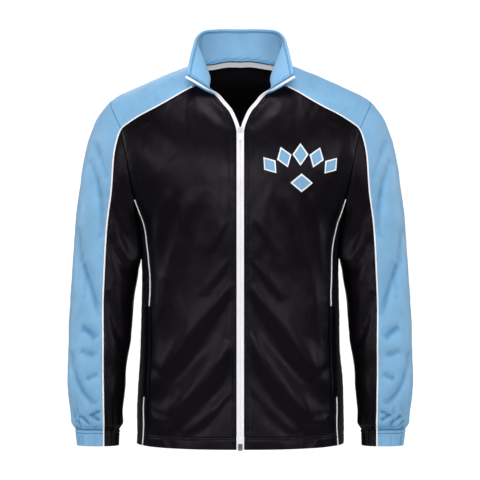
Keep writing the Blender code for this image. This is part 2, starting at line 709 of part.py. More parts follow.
def shell_faces(rows, columns, turned):
    """Faces of a closed wall: an outer grid, an inner grid and the rim between them."""
    inner = rows * columns

    def at(i, j, layer):
        return i * columns + j + layer * inner

    faces = []
    for i in range(rows - 1):
        for j in range(columns - 1):
            outside = [at(i, j, 0), at(i, j + 1, 0), at(i + 1, j + 1, 0), at(i + 1, j, 0)]
            faces.append(outside)
            faces.append([corner + inner for corner in reversed(outside)])
    edge = [(0, j) for j in range(columns)] + [(i, columns - 1) for i in range(1, rows)]
    edge += [(rows - 1, j) for j in range(columns - 2, -1, -1)]
    edge += [(i, 0) for i in range(rows - 2, 0, -1)]
    for (i, j), (m, n) in zip(edge, edge[1:] + edge[:1]):
        faces.append([at(m, n, 0), at(i, j, 0), at(i, j, 1), at(m, n, 1)])
    return [face[::-1] for face in faces] if turned else faces


def inset_edges(points, normals, seams, gap):
    """The grid with its seam edges drawn back by half a seam gap, along the cloth."""
    moved = points.copy()
    edges = {
        "top": (np.s_[0], np.s_[1]),
        "bottom": (np.s_[-1], np.s_[-2]),
        "left": (np.s_[:, 0], np.s_[:, 1]),
        "right": (np.s_[:, -1], np.s_[:, -2]),
    }
    for seam in seams:
        edge, inside = edges[seam]
        along = np.gradient(points[edge], axis=0)
        inward = unit(np.cross(normals[edge], along))
        side = np.sign((inward * (points[inside] - points[edge])).sum(-1, keepdims=True))
        moved[edge] += inward * side * gap / 2
    return moved


def wall_object(name, points, normals, wall, finish, seams=(), gap=SEAM_GAP):
    """A closed wall of cloth whose outer face is the grid. wall is a number or one for each point."""
    outer = inset_edges(points, normals, seams, gap)
    depth = np.broadcast_to(np.asarray(wall, float), points.shape[:2])[..., None]
    inner = outer - depth * normals
    rows, columns = points.shape[:2]
    middle = (rows // 2, columns // 2)
    across = outer[middle[0], middle[1]] - outer[middle[0], middle[1] - 1]
    down = outer[middle[0], middle[1]] - outer[middle[0] - 1, middle[1]]
    turned = float(np.dot(np.cross(across, down), normals[middle])) < 0
    both = np.concatenate([outer.reshape(-1, 3), inner.reshape(-1, 3)])
    return make_object(name, both, shell_faces(rows, columns, turned), finish)


def hem_wall(points):
    """Wall thickness that doubles over the turned hem."""
    rise = points[..., 2] - HEM_Z
    return WALL + (HEM_WALL - WALL) * (1 - soft((rise - HEM_HEIGHT + HEM_EDGE) / (2 * HEM_EDGE)))


def strip_object(name, path, normals, across, low, high, widths, finish):
    """A trim that lies on the cloth: its four corners are the path moved across and out."""
    base_half, top_half = widths
    corners = [
        path - across * base_half + normals * low,
        path + across * base_half + normals * low,
        path + across * top_half + normals * high,
        path - across * top_half + normals * high,
    ]
    count = len(path)
    points = np.concatenate(corners)
    faces = []
    for i in range(count - 1):
        for a, b in ((0, 1), (1, 2), (2, 3), (3, 0)):
            faces.append([a * count + i, b * count + i, b * count + i + 1, a * count + i + 1])
    faces.append([corner * count for corner in (3, 2, 1, 0)])
    faces.append([corner * count + count - 1 for corner in (0, 1, 2, 3)])
    volume = sum(np.dot(points[f[0]], np.cross(points[f[1]], points[f[2]])) for f in fan(faces))
    if volume < 0:
        faces = [face[::-1] for face in faces]
    return make_object(name, points, faces, finish)


def fan(faces):
    """Triangles of the faces, for a volume sum."""
    return [(face[0], face[k], face[k + 1]) for face in faces for k in range(1, len(face) - 1)]


# ---------------------------------------------------------------- pieces


def flipped(points):
    return points * np.array([-1.0, 1.0, 1.0])


def side_names():
    return (("left", 1), ("right", -1))


def seam_frames(seams, side):
    """Points and normals along every seam line, on the left or mirrored to the right."""
    frames = {}
    for name, places in seams.items():
        frames[name] = torso_surface(places if side > 0 else mirrored(places))
    return frames


def torso_pieces(seams, frames, finish):
    """Fronts, side panels, yokes and the back, with normals shared along armhole and neck."""
    open_foot = ("top", "left", "right")
    for word, side in side_names():
        turn = (lambda places: places) if side > 0 else mirrored
        top = joined(seams["neck_front"], seams["yoke_front"])
        outside = joined(seams["armhole_front"], seams["side_front"])
        grid = turn(patch(top, seams["hem_front"], seams["zip"], outside))
        points, normals = torso_surface(grid)
        edge = frames[side]
        normals[0, : FRONT_NECK + 1] = edge["neck_front"][1]
        normals[: FRONT_ARMHOLE + 1, -1] = edge["armhole_front"][1]
        wall_object(f"front_{word}", points, normals, hem_wall(points), finish["black"], open_foot)

        sides = [seams[name] for name in ("armhole_side", "hem_side", "side_front", "side_edge")]
        points, normals = torso_surface(turn(patch(*sides)))
        normals[0] = edge["armhole_side"][1]
        wall_object(f"side_panel_{word}", points, normals, hem_wall(points), finish["black"], open_foot)

        sides = [seams[name] for name in ("yoke_front", "yoke_back", "neck_yoke", "armhole_yoke")]
        points, normals = torso_surface(turn(patch(*sides)))
        normals[:, 0] = edge["neck_yoke"][1]
        normals[:, -1] = edge["armhole_yoke"][1]
        wall_object(f"yoke_{word}", points, normals, WALL, finish["blue"], ("bottom", *open_foot))
    back_piece(seams, frames, finish)


def back_piece(seams, frames, finish):
    yoke, neck = seams["yoke_back"], seams["neck_back"]
    top = joined(mirrored(yoke)[::-1], mirrored(neck), neck[::-1], yoke)
    outside = joined(seams["armhole_back"][::-1], seams["side_back"])
    shares = np.linspace(-1, 1, len(top))
    bottom = hem_place(shares, back=True)
    bottom[0], bottom[-1] = mirrored(outside[-1]), outside[-1]
    points, normals = torso_surface(patch(top, bottom, mirrored(outside), outside))
    for column, side in ((0, -1), (-1, 1)):
        normals[: BACK_ARMHOLE + 1, column] = frames[side]["armhole_back"][1][::-1]
    right_neck, left_neck = frames[-1]["neck_back"][1], frames[1]["neck_back"][1]
    normals[0, YOKE_SEAM : YOKE_SEAM + 2 * BACK_NECK + 1] = joined(right_neck, left_neck[::-1])
    wall_object("back", points, normals, hem_wall(points), finish["black"], ("top", "left", "right"))
    neck_tape_piece(points, normals, finish)


ARMHOLE_PARTS = ("armhole_yoke", "armhole_back", "armhole_side", "armhole_front")


def armhole_loop(frames):
    """The armhole's points and normals as one loop from the front yoke seam over the top."""
    top = frames["armhole_yoke"]
    rest = [frames[name] for name in ARMHOLE_PARTS[1:]]
    points = joined(top[0], *(line[0][::-1] for line in rest))
    normals = joined(top[1], *(line[1][::-1] for line in rest))
    return points, normals


def share_armhole(frames, normals):
    """Writes the normals shared with the sleeve back to the armhole's four lines."""
    ends = np.cumsum([0, YOKE_ARMHOLE, BACK_ARMHOLE, SIDE_ARMHOLE, FRONT_ARMHOLE])
    for k, name in enumerate(ARMHOLE_PARTS):
        part = normals[ends[k] : ends[k + 1] + 1]
        points = frames[name][0]
        frames[name] = (points, part if k == 0 else part[::-1])


def sleeve_pieces(word, side, points, normals, finish):
    sleeve = slice(0, SLEEVE_RINGS + 1)
    cuff = slice(SLEEVE_RINGS, SLEEVE_RINGS + CUFF_RINGS + 1)
    outer, under = slice(0, YOKE_ARMHOLE + 1), slice(YOKE_ARMHOLE, LOOP + 1)
    every = ("top", "bottom", "left", "right")
    for name, columns, colour in (("outer", outer, "blue"), ("under", under, "black")):
        part = points[sleeve, columns], normals[sleeve, columns]
        wall_object(f"sleeve_{name}_{word}", *part, WALL, finish[colour], every)
        part = points[cuff, columns], normals[cuff, columns]
        wall_object(f"cuff_{name}_{word}", *part, CUFF_WALL, finish[colour], ("top", "left", "right"))


def piping(name, path, normals, finish):
    along = np.gradient(path, axis=0)
    across = unit(np.cross(normals, along))
    low, high = PIPING_LIFT, PIPING_LIFT + PIPING_HEIGHT
    strip_object(name, path, normals, across, low, high, (PIPING_HALF, PIPING_TOP_HALF), finish)


def between(line, start, end):
    """The stretch of a (points, normals) line from share start to share end of its length."""
    points, normals = line
    keys = np.linspace(0, 1, len(points))
    inside = (keys > start + 1e-6) & (keys < end - 1e-6)
    picked = np.concatenate([[start], keys[inside], [end]])

    def at_picked(rows):
        return np.stack([np.interp(picked, keys, rows[:, k]) for k in range(3)], axis=1)

    return at_picked(points), unit(at_picked(normals))


def level_share(line, z):
    """Share of a line, counted in its points, at which it reaches the level z."""
    levels = line[0][:, 2]
    return float(np.interp(-z, -levels, np.linspace(0, 1, len(levels))))


def piping_pieces(word, frames, sleeve, normals, finish):
    for name, seam, column in (("front", "yoke_front", 0), ("back", "yoke_back", YOKE_ARMHOLE)):
        yoke_points, yoke_normals = between(frames[seam], PIPING_NECK_SHARE, 1.0)
        path = joined(yoke_points, sleeve[:, column])
        out = joined(yoke_normals, normals[:, column])
        piping(f"piping_yoke_{name}_{word}", path, out, finish["white"])
    side = frames["side_front"]
    upper = between(side, SIDE_PIPING_START, level_share(side, SIDE_PIPING_STOP_Z))
    lower = between(side, level_share(side, SIDE_PIPING_RESUME_Z), 1.0)
    piping(f"piping_side_upper_{word}", *upper, finish["white"])
    piping(f"piping_side_lower_{word}", *lower, finish["white"])


def welt_piece(word, side, finish):
    """The pocket mouth: a narrow welt that lies over the side seam."""
    down = np.linspace(0, 1, WELT_ROWS + 1)[:, None]
    across = np.linspace(0, 1, WELT_COLUMNS + 1)[None, :]
    z = WELT_TOP_Z + (WELT_FOOT_Z - WELT_TOP_Z) * down + 0 * across
    inner = WELT_TOP_X[0] + (WELT_FOOT_X[0] - WELT_TOP_X[0]) * down
    outer = WELT_TOP_X[1] + (WELT_FOOT_X[1] - WELT_TOP_X[1]) * down
    places = torso_place(inner + (outer - inner) * across, z)
    points, normals = torso_surface(places if side > 0 else mirrored(places))
    points = points + normals * (WELT_LIFT + WELT_WALL)
    wall_object(f"pocket_welt_{word}", points, normals, WELT_WALL, finish["black"])


def zip_pieces(word, side, frames, collar, collar_normals, finish):
    """A tape along the front edge and up the collar, with its row of teeth."""
    points, normals = frames["zip"]
    column = -1 if side > 0 else 0
    path = joined(collar[::-1, column], points)
    out = joined(collar_normals[::-1, column], normals)
    for _ in range(2):
        out[1:-1] = unit(out[:-2] + out[1:-1] + out[2:])
    along = np.gradient(path, axis=0)
    across = unit(np.cross(out, along))
    across *= -np.sign((across[-1] * np.array([side, 0, 0])).sum())
    start = np.full((len(path), 1), SEAM_GAP)
    start[: COLLAR_ROWS + 2] = COLLAR_TAPE_GAP
    end = start + TAPE_WIDTH
    half = TAPE_WIDTH / 2
    centre = path + across * (start + half)
    widths = (half, half)
    strip_object(f"zip_tape_{word}", centre, out, across, -TAPE_WALL, 0.0, widths, finish["zip"])
    teeth = path + across * (end - CHAIN_WIDTH / 2)
    share = (BOX_TOP_Z + SEAM_GAP - teeth[-2, 2]) / (teeth[-1, 2] - teeth[-2, 2])
    teeth[-1] = teeth[-2] + (teeth[-1] - teeth[-2]) * share
    low = np.full((len(path), 1), SEAM_GAP)
    low[: COLLAR_ROWS + 3] = TWISTED_TEETH_GAP
    high = low + CHAIN_HEIGHT
    widths = (CHAIN_WIDTH / 2, CHAIN_WIDTH / 2 * CHAIN_TOP_SHARE)
    strip_object(f"zip_teeth_{word}", teeth, out, across, low, high, widths, finish["zip"])


def neck_tape_piece(outer, normals, finish):
    """The tape over the neck seam, on the inner face of the back's first row."""
    neck = np.s_[YOKE_SEAM : YOKE_SEAM + 2 * BACK_NECK + 1]
    depth = WALL + NECK_TAPE_LIFT
    first = outer[0, neck] - depth * normals[0, neck]
    second = outer[1, neck] - depth * normals[1, neck]
    reach = np.linalg.norm(second - first, axis=-1, keepdims=True)
    start, end = NECK_TAPE_START / reach, (NECK_TAPE_START + NECK_TAPE_HEIGHT) / reach
    rows = [first + (second - first) * share for share in (start, end)]
    out = [normals[0, neck] * (1 - share) + normals[1, neck] * share for share in (start, end)]
    wall_object("neck_tape", np.stack(rows), unit(np.stack(out)), NECK_TAPE_WALL, finish["white"])


def zip_frame(z):
    """A local frame on the closed zip: x across, y up along it, z out of the cloth."""
    here = torso_surface(torso_place(np.array([0.0]), np.array([z])))
    point, out = Vector(here[0][0]), Vector((0.0, here[1][0][1], here[1][0][2])).normalized()
    across = Vector((1.0, 0.0, 0.0))
    up = out.cross(across)
    rotation = Matrix((across, up, out)).transposed().to_4x4()
    return Matrix.Translation(point) @ rotation


def prism(name, outline, low, high, finish):
    """A closed plate: an outline in local x and y, between two local heights."""
    count = len(outline)
    points = [(x, y, low) for x, y in outline] + [(x, y, high) for x, y in outline]
    faces = [tuple(range(count))[::-1], tuple(range(count, 2 * count))]
    faces += [(i, (i + 1) % count, (i + 1) % count + count, i + count) for i in range(count)]
    return make_object(name, points, faces, finish)


def block(name, x, y, z, finish):
    """A closed block between the pairs of limits x, y and z."""
    outline = [(x[0], y[0]), (x[1], y[0]), (x[1], y[1]), (x[0], y[1])]
    return prism(name, outline, z[0], z[1], finish)


def combined(body, others, operation):
    """Joins the others to the body, or cuts them from it, as one closed solid."""
    for other in others:
        cut = body.modifiers.new(other.name, "BOOLEAN")
        cut.operation, cut.object = operation, other
        bpy.context.view_layer.update()
        graph = bpy.context.evaluated_depsgraph_get()
        mesh = bpy.data.meshes.new_from_object(body.evaluated_get(graph))
        body.modifiers.clear()
        body.data = mesh
        bpy.data.objects.remove(other, do_unlink=True)


def placed(made, frame, name):
    """Hangs a piece on an empty that stands at the frame."""
    empty = bpy.data.objects.new(name, None)
    empty.matrix_world = frame
    bpy.context.scene.collection.objects.link(empty)
    made.parent = empty


def shield(half_top, half_waist, half_foot, high, low):
    """A slider's outline: wide shoulders, a waist and a narrower foot."""
    right = [(half_top * 0.55, high), (half_top, high * 0.70), (half_top, high * 0.10)]
    right += [(half_waist, low * 0.35), (half_foot, low * 0.80), (half_foot * 0.75, low)]
    return [(-x, y) for x, y in right] + [(x, y) for x, y in right[::-1]]


def slider_pieces(finish):
    """The slider round the chain, and the pull tab that turns under its bridge."""
    half = SLIDER_HEIGHT / 2
    chain_top = SEAM_GAP + CHAIN_HEIGHT
    front_low = chain_top + SEAM_GAP
    front_high = front_low + PLATE_WALL
    back_high = -TAPE_WALL - SEAM_GAP
    outline = shield(SLIDER_WIDTH / 2, SLIDER_WIDTH * 0.42, SLIDER_WIDTH * 0.38, half, -half)
    body = prism("slider", outline, front_low, front_high, finish["zip"])
    back = prism("back plate", outline, back_high - PLATE_WALL, back_high, finish["zip"])
    thick = (-POST_HALF, POST_HALF)
    foot, crown = front_high - OVERLAP, front_high + BRIDGE_RISE
    joins = [
        block("post", thick, POST_DEPTH, (back_high - OVERLAP, front_low + OVERLAP), finish["zip"]),
        back,
        block("bridge head", thick, BRIDGE_HEAD, (foot, crown + OVERLAP), finish["zip"]),
        block("bridge foot", thick, BRIDGE_FOOT, (foot, crown + OVERLAP), finish["zip"]),
    ]
    length = (BRIDGE_FOOT[0], BRIDGE_HEAD[1])
    joins.append(block("bridge crown", thick, length, (crown, crown + BRIDGE_WALL), finish["zip"]))
    combined(body, joins, "UNION")
    frame = zip_frame(SLIDER_Z)
    placed(body, frame, "slider seat")

    hinge = frame @ Matrix.Translation((0, HINGE_Y, front_high + HINGE_RISE))
    hinge = hinge @ Matrix.Rotation(math.radians(TAB_REST_ANGLE), 4, "X")
    thick, width = TAB_WALL / 2, TAB_WIDTH / 2
    tab = block("pull_tab", (-width, width), (-TAB_LENGTH, thick), (-thick, thick), finish["zip"])
    hole = (-TAB_EYE_HALF, TAB_EYE_HALF)
    eye = block("eye", hole, (-TAB_EYE, -thick), (-TAB_EYE_CUT, TAB_EYE_CUT), finish["zip"])
    combined(tab, [eye], "DIFFERENCE")
    placed(tab, hinge, "pull tab hinge")


def zip_box_piece(finish):
    """The metal box that holds the zip's foot."""
    half = (BOX_TOP_Z - BOX_FOOT_Z) / 2
    height = (SEAM_GAP, SEAM_GAP + BOX_WALL)
    box = block("zip_box", (-BOX_HALF, BOX_HALF), (-half, half), height, finish["metal"])
    placed(box, zip_frame((BOX_FOOT_Z + BOX_TOP_Z) / 2), "zip box seat")


def build():
    for old in list(bpy.data.objects):
        bpy.data.objects.remove(old, do_unlink=True)
    finish = finishes()
    seams = left_seams()
    frames = {1: seam_frames(seams, 1), -1: seam_frames(seams, -1)}

    sleeves = {}
    for word, side in side_names():
        armhole, torso_normals = armhole_loop(frames[side])
        if side < 0:
            armhole, torso_normals = flipped(armhole), flipped(torso_normals)
        points, normals = sleeve_grid(armhole)
        points[0] = armhole
        normals[0] = unit(normals[0] + torso_normals)
        if side < 0:
            points, normals = flipped(points), flipped(normals)
        share_armhole(frames[side], normals[0])
        sleeves[side] = (points, normals)

    neck = {}
    for side in (1, -1):
        lines = [frames[side][name] for name in ("neck_back", "neck_yoke", "neck_front")]
        neck[side] = [joined(*(line[part][::-1] for line in lines)) for part in (0, 1)]
    neck_points = joined(neck[-1][0][::-1], neck[1][0])
    neck_normals = joined(neck[-1][1][::-1], neck[1][1])
    collar, collar_normals = collar_grid(neck_points)
    collar_normals[0] = unit(collar_normals[0] + neck_normals)
    ends = np.cumsum([0, FRONT_NECK, YOKE_ARMHOLE, BACK_NECK])
    for side in (1, -1):
        line = collar_normals[0] if side < 0 else collar_normals[0][::-1]
        for k, name in enumerate(("neck_front", "neck_yoke", "neck_back")):
            frames[side][name] = (frames[side][name][0], line[ends[k] : ends[k + 1] + 1])

    torso_pieces(seams, frames, finish)
    for word, side in side_names():
        sleeve_pieces(word, side, *sleeves[side], finish)
        piping_pieces(word, frames[side], *sleeves[side], finish)
        welt_piece(word, side, finish)
        zip_pieces(word, side, frames[side], collar, collar_normals, finish)
    edges = ("top", "left", "right")
    wall_object("collar", collar, collar_normals, COLLAR_WALL, finish["blue"], edges, COLLAR_GAP)
    slider_pieces(finish)
    zip_box_piece(finish)


build()
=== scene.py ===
"""Track jacket, dressed: cloth, piping, zip, stitching and badge round the loaded frame.

Metres throughout. The origin is the base of the neck, +Z is up, the front faces -Y
and the wearer's left is +X. The cloth follows the same three shapes as the frame's
solids: the torso, a sleeve and the collar.
"""

import math
from collections import namedtuple
from functools import partial

import bmesh
import bpy
import numpy as np
from bpy.props import FloatProperty, FloatVectorProperty, PointerProperty
from mathutils import Matrix, Vector, noise


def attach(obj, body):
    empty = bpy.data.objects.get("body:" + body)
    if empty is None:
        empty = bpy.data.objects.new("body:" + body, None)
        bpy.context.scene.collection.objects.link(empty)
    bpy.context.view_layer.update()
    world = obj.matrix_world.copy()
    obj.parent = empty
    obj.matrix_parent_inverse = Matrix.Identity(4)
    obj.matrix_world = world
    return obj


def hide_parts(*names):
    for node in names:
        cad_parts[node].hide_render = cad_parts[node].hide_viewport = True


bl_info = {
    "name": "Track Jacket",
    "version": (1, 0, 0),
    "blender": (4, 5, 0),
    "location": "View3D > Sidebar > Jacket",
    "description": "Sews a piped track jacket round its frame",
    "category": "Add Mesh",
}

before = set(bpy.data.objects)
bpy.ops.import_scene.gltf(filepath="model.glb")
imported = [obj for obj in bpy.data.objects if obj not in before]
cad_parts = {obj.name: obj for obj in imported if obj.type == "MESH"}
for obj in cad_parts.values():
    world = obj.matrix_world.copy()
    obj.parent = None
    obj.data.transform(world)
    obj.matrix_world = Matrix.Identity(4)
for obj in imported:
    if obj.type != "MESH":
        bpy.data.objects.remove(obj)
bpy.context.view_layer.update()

# Fineness: cloth squares for each segment of the solids' seams, and for each sleeve ring
FINE = 6
RING_FINE = 9

# Hem and cuffs
HEM_Z = -0.686
HEM_HEIGHT = 0.020
HEM_EDGE = 0.004
CUFF_WALL = 0.0026

# Body
SHOULDER_POINT_X = 0.097
NECK_RISE = 0.030
RIDGE_Y = 0.010
SECTION_POWER = 2.5
BACK_CAP = 0.150
FRONT_CAP_CENTRE = 0.260
FRONT_CAP_SLOPE = 0.667
TORSO_ROUNDS = 12
NECK_ROUNDS = 20

# Sleeves. Reaches and starts are counted in rings from the armhole
SLEEVE_POWER = 2.3
SLEEVE_RINGS = 19
CUFF_RINGS = 2
ARMHOLE_REACH = 5.0
FOLDS_RISE = 2.0
FOLDS_END = 16.0
GATHER_START = 15.0
GATHER_RUN = 3.0
GATHER_DEPTH = 0.0018
CUFF_CALM = 0.7
CUFF_CALM_RUN = 0.6

# Piping
PIPING_HALF = 0.0015
PIPING_HEIGHT = 0.0013
PIPING_LIFT = 0.0005
PIPING_SINK = 0.0002
PIPING_SIDES = 12
PIPING_EASE = 3
PIPING_NECK_SHARE = 0.045
SIDE_PIPING_START = 0.010
SIDE_PIPING_STOP_Z = -0.4350
SIDE_PIPING_RESUME_Z = -0.5990

# Neck tape
NECK_TAPE_HEIGHT = 0.010
NECK_TAPE_WALL = 0.0010
NECK_TAPE_START = 0.0020
NECK_TAPE_LIFT = 0.0006
NECK_TAPE_ROWS = 8
NECK_TAPE_HANG = 0.8
NECK_TAPE_FALL = (0.0, 0.12, -0.99)

# Pocket welts
WELT_WALL = 0.0015
WELT_LIFT = 0.0009
WELT_TOP_Z = -0.4370
WELT_FOOT_Z = -0.5975
WELT_TOP_X = (0.1590, 0.1700)
WELT_FOOT_X = (0.1610, 0.1735)
WELT_ROWS = 80
WELT_COLUMNS = 12

# Zip tapes and coil
ZIP_EDGE_X = 0.0067
ZIP_GAP = 0.0003
ZIP_BEND_REACH = 9.0
TAPE_WIDTH = 0.0062
TAPE_WALL = 0.0010
TAPE_CROWN = 0.0001
CHAIN_WIDTH = 0.0027
CHAIN_HEIGHT = 0.0010
COIL_RADIUS = 0.00046
COIL_OVERHANG = 0.0005
COIL_RISE = 0.0005
COIL_ARCH = 90.0
COIL_STARTS = {1: 0.25, -1: 0.75}

# Slider: two plates, the post between them and the bridge that holds the tab
SLIDER_Z = -0.1235
SLIDER_HEIGHT = 0.0112
SLIDER_WIDTH = 0.0086
PLATE_WALL = 0.0013
PLATE_LOW = 2 * ZIP_GAP + CHAIN_HEIGHT
PLATE_TOP = PLATE_LOW + PLATE_WALL
PLATE_RIM = 0.0007
PLATE_DISH = 0.0002
POST_HALF = 0.0008
POST_LENGTH = 0.0018
POST_Y = 0.0043
POST_SINK = 0.0004
BRIDGE_RADIUS = 0.0030
BRIDGE_WIRE = 0.00075
BRIDGE_SPREAD = 1.25
BRIDGE_Y = 0.0004
BRIDGE_SINK = 0.0002
BRIDGE_FOOT = 0.0004

# Pull tab
HINGE_Y = -0.0010
HINGE_RISE = 0.0013
TAB_LENGTH = 0.0195
TAB_WIDTH = 0.0052
TAB_WALL = 0.0011
TAB_EYE_START = 0.0010
TAB_EYE_END = 0.0066
TAB_EYE_HALF = 0.0013
TAB_REST_ANGLE = -6.0
TAB_BEVEL = 0.00022

# Box at the zip's foot
BOX_TOP_Z = -0.6755
BOX_FOOT_Z = -0.6872
BOX_HALF = 0.0036
BOX_WALL = 0.0024
BOX_RIM = 0.0008
BOX_DISH = 0.0003

# Squares along each seam, shared by the pieces on both sides of it
YOKE_SEAM = 10 * FINE
YOKE_ARMHOLE = 10 * FINE
FRONT_NECK = 4 * FINE
BACK_NECK = 3 * FINE
FRONT_ARMHOLE = 5 * FINE
SIDE_ARMHOLE = 4 * FINE
BACK_ARMHOLE = 7 * FINE
SIDE_ROWS = 24 * FINE
BACK_ROWS = 13 * FINE
COLLAR_ROWS = 40
ZIP_V_ROWS = 5 * FINE

# Both sides by name and by sign, and the edges of a grid
SIDES = (("left", 1), ("right", -1))
ALL_EDGES = ("top", "bottom", "left", "right")
BUT_BOTTOM = ("top", "left", "right")
BUT_TOP = ("bottom", "left", "right")


# The body's half width and its half depths, front and back, level by level
Level = namedtuple("Level", "z half_width front_depth back_depth")
BODY = [
    Level(-0.700, 0.1885, 0.132, 0.121),
    Level(-0.620, 0.1885, 0.130, 0.117),
    Level(-0.590, 0.1870, 0.129, 0.115),
    Level(-0.557, 0.1847, 0.128, 0.113),
    Level(-0.530, 0.1825, 0.128, 0.111),
    Level(-0.450, 0.1808, 0.127, 0.109),
    Level(-0.357, 0.1800, 0.130, 0.113),
    Level(-0.320, 0.1812, 0.133, 0.118),
    Level(-0.285, 0.1870, 0.135, 0.122),
    Level(-0.238, 0.2150, 0.136, 0.126),
    Level(-0.200, 0.2350, 0.136, 0.128),
    Level(-0.150, 0.2500, 0.134, 0.128),
    Level(-0.100, 0.2620, 0.129, 0.126),
    Level(-0.050, 0.2680, 0.121, 0.122),
    Level(0.040, 0.2700, 0.112, 0.117),
]

# The shoulder line, from the shoulder point at the neck to the top of the armhole
Ridge = namedtuple("Ridge", "x z")
SHOULDER = [
    Ridge(0.0970, 0.0000),
    Ridge(0.1400, -0.0175),
    Ridge(0.2000, -0.0440),
    Ridge(0.2240, -0.0555),
    Ridge(0.2408, -0.0674),
    Ridge(0.2700, -0.0920),
]

# Seam lines on the body, seen from the front. The back ones repeat them
Spot = namedtuple("Spot", "x z")
YOKE_LINE = [
    Spot(0.0795, -0.0400),
    Spot(0.0986, -0.0492),
    Spot(0.1209, -0.0634),
    Spot(0.1524, -0.0811),
    Spot(0.1729, -0.0909),
    Spot(0.1919, -0.1018),
    Spot(0.2150, -0.1175),
]
ARMHOLE_LINE = [
    Spot(0.2408, -0.0674),
    Spot(0.2335, -0.0790),
    Spot(0.2250, -0.0960),
    Spot(0.2150, -0.1175),
    Spot(0.2090, -0.1440),
    Spot(0.2029, -0.1753),
    Spot(0.1968, -0.2093),
    Spot(0.1903, -0.2398),
]
SIDE_LINE = [
    Spot(0.1903, -0.2398),
    Spot(0.1816, -0.2648),
    Spot(0.1746, -0.2845),
    Spot(0.1690, -0.3078),
    Spot(0.1648, -0.3347),
    Spot(0.1628, -0.3633),
    Spot(0.1613, -0.4081),
    Spot(0.1620, -0.4386),
    Spot(0.1721, -0.5854),
    Spot(0.1737, -0.6200),
    Spot(0.1730, -0.6500),
    Spot(0.1752, HEM_Z),
]
FRONT_NECK_LINE = [
    Spot(0.0430, -0.0585),
    Spot(0.0530, -0.0545),
    Spot(0.0640, -0.0490),
    Spot(0.0795, -0.0400),
]
ZIP_V_LINE = [
    Spot(0.0430, -0.0585),
    Spot(0.0362, -0.0697),
    Spot(0.0194, -0.0896),
    Spot(0.0132, -0.1030),
    Spot(0.0092, -0.1140),
    Spot(ZIP_EDGE_X, -0.1240),
]
ZIP_V_END_Z = -0.1240
ARMPIT = Spot(0.1870, -0.2850)
UNDERARM_LINE = [
    Spot(0.1903, -0.2398),
    Spot(0.1885, -0.2560),
    Spot(0.1872, -0.2720),
    ARMPIT,
]
NECK_END_LINE = [
    Spot(0.0795, -0.0400),
    Spot(0.0880, -0.0285),
    Spot(0.0945, -0.0125),
]

# The back neck seam, seen from above, from the shoulder point to the centre back
Plan = namedtuple("Plan", "x y")
BACK_NECK_LINE = [
    Plan(0.0930, 0.0270),
    Plan(0.0800, 0.0400),
    Plan(0.0480, 0.0560),
    Plan(0.0000, 0.0620),
]

# Sleeve rings fan out from the armpit. piping is where the piping runs, as a share of the width from
# the outer edge
Ring = namedtuple("Ring", "outer_x outer_z inner_x inner_z depth middle_y piping")
SLEEVE = [
    Ring(0.2408, -0.0674, 0.1870, -0.2850, 0.070, 0.010, 0.280),
    Ring(0.2620, -0.0970, 0.1868, -0.2900, 0.070, 0.010, 0.360),
    Ring(0.2770, -0.1350, 0.1865, -0.2970, 0.068, 0.010, 0.455),
    Ring(0.2860, -0.1750, 0.1860, -0.3060, 0.066, 0.010, 0.500),
    Ring(0.2920, -0.2150, 0.1855, -0.3180, 0.064, 0.010, 0.508),
    Ring(0.2975, -0.2580, 0.1850, -0.3340, 0.062, 0.010, 0.508),
    Ring(0.3015, -0.3000, 0.1845, -0.3520, 0.060, 0.009, 0.506),
    Ring(0.3040, -0.3420, 0.1860, -0.3760, 0.058, 0.008, 0.510),
    Ring(0.3070, -0.3850, 0.1900, -0.4020, 0.056, 0.006, 0.526),
    Ring(0.3095, -0.4250, 0.1940, -0.4300, 0.055, 0.004, 0.544),
    Ring(0.3118, -0.4620, 0.1960, -0.4620, 0.053, 0.001, 0.562),
    Ring(0.3127, -0.4950, 0.1985, -0.4950, 0.052, -0.002, 0.582),
    Ring(0.3127, -0.5250, 0.2035, -0.5250, 0.050, -0.005, 0.608),
    Ring(0.3127, -0.5550, 0.2075, -0.5550, 0.048, -0.008, 0.631),
    Ring(0.3127, -0.5830, 0.2090, -0.5830, 0.046, -0.011, 0.645),
    Ring(0.3110, -0.6060, 0.2110, -0.6060, 0.043, -0.013, 0.653),
    Ring(0.3085, -0.6250, 0.2127, -0.6250, 0.039, -0.015, 0.655),
    Ring(0.3050, -0.6410, 0.2140, -0.6410, 0.034, -0.016, 0.653),
    Ring(0.3026, -0.6530, 0.2155, -0.6530, 0.029, -0.017, 0.653),
    Ring(0.3018, -0.6620, 0.2162, -0.6620, 0.026, -0.017, 0.654),
    Ring(0.3000, -0.6770, 0.2170, -0.6770, 0.026, -0.017, 0.652),
    Ring(0.2980, -0.6916, 0.2175, -0.6916, 0.027, -0.017, 0.650),
]

# The collar above the neck seam, from the centre back (along 0) to the zip (along 1)
Stand = namedtuple("Stand", "along mid_x mid_y mid_z top_x top_y top_z")
COLLAR = [
    Stand(0.000, 0.0000, 0.0580, 0.0440, 0.0000, 0.0500, 0.0723),
    Stand(0.200, 0.0460, 0.0520, 0.0430, 0.0420, 0.0445, 0.0718),
    Stand(0.355, 0.0755, 0.0340, 0.0380, 0.0690, 0.0290, 0.0665),
    Stand(0.480, 0.0800, 0.0080, 0.0280, 0.0815, 0.0040, 0.0520),
    Stand(0.605, 0.0690, -0.0160, 0.0090, 0.0865, -0.0240, 0.0320),
    Stand(0.718, 0.0620, -0.0360, -0.0080, 0.0905, -0.0480, 0.0120),
    Stand(0.827, 0.0560, -0.0560, -0.0260, 0.0938, -0.0680, -0.0070),
    Stand(1.000, 0.0690, -0.0850, -0.0410, 0.0956, -0.0840, -0.0246),
]

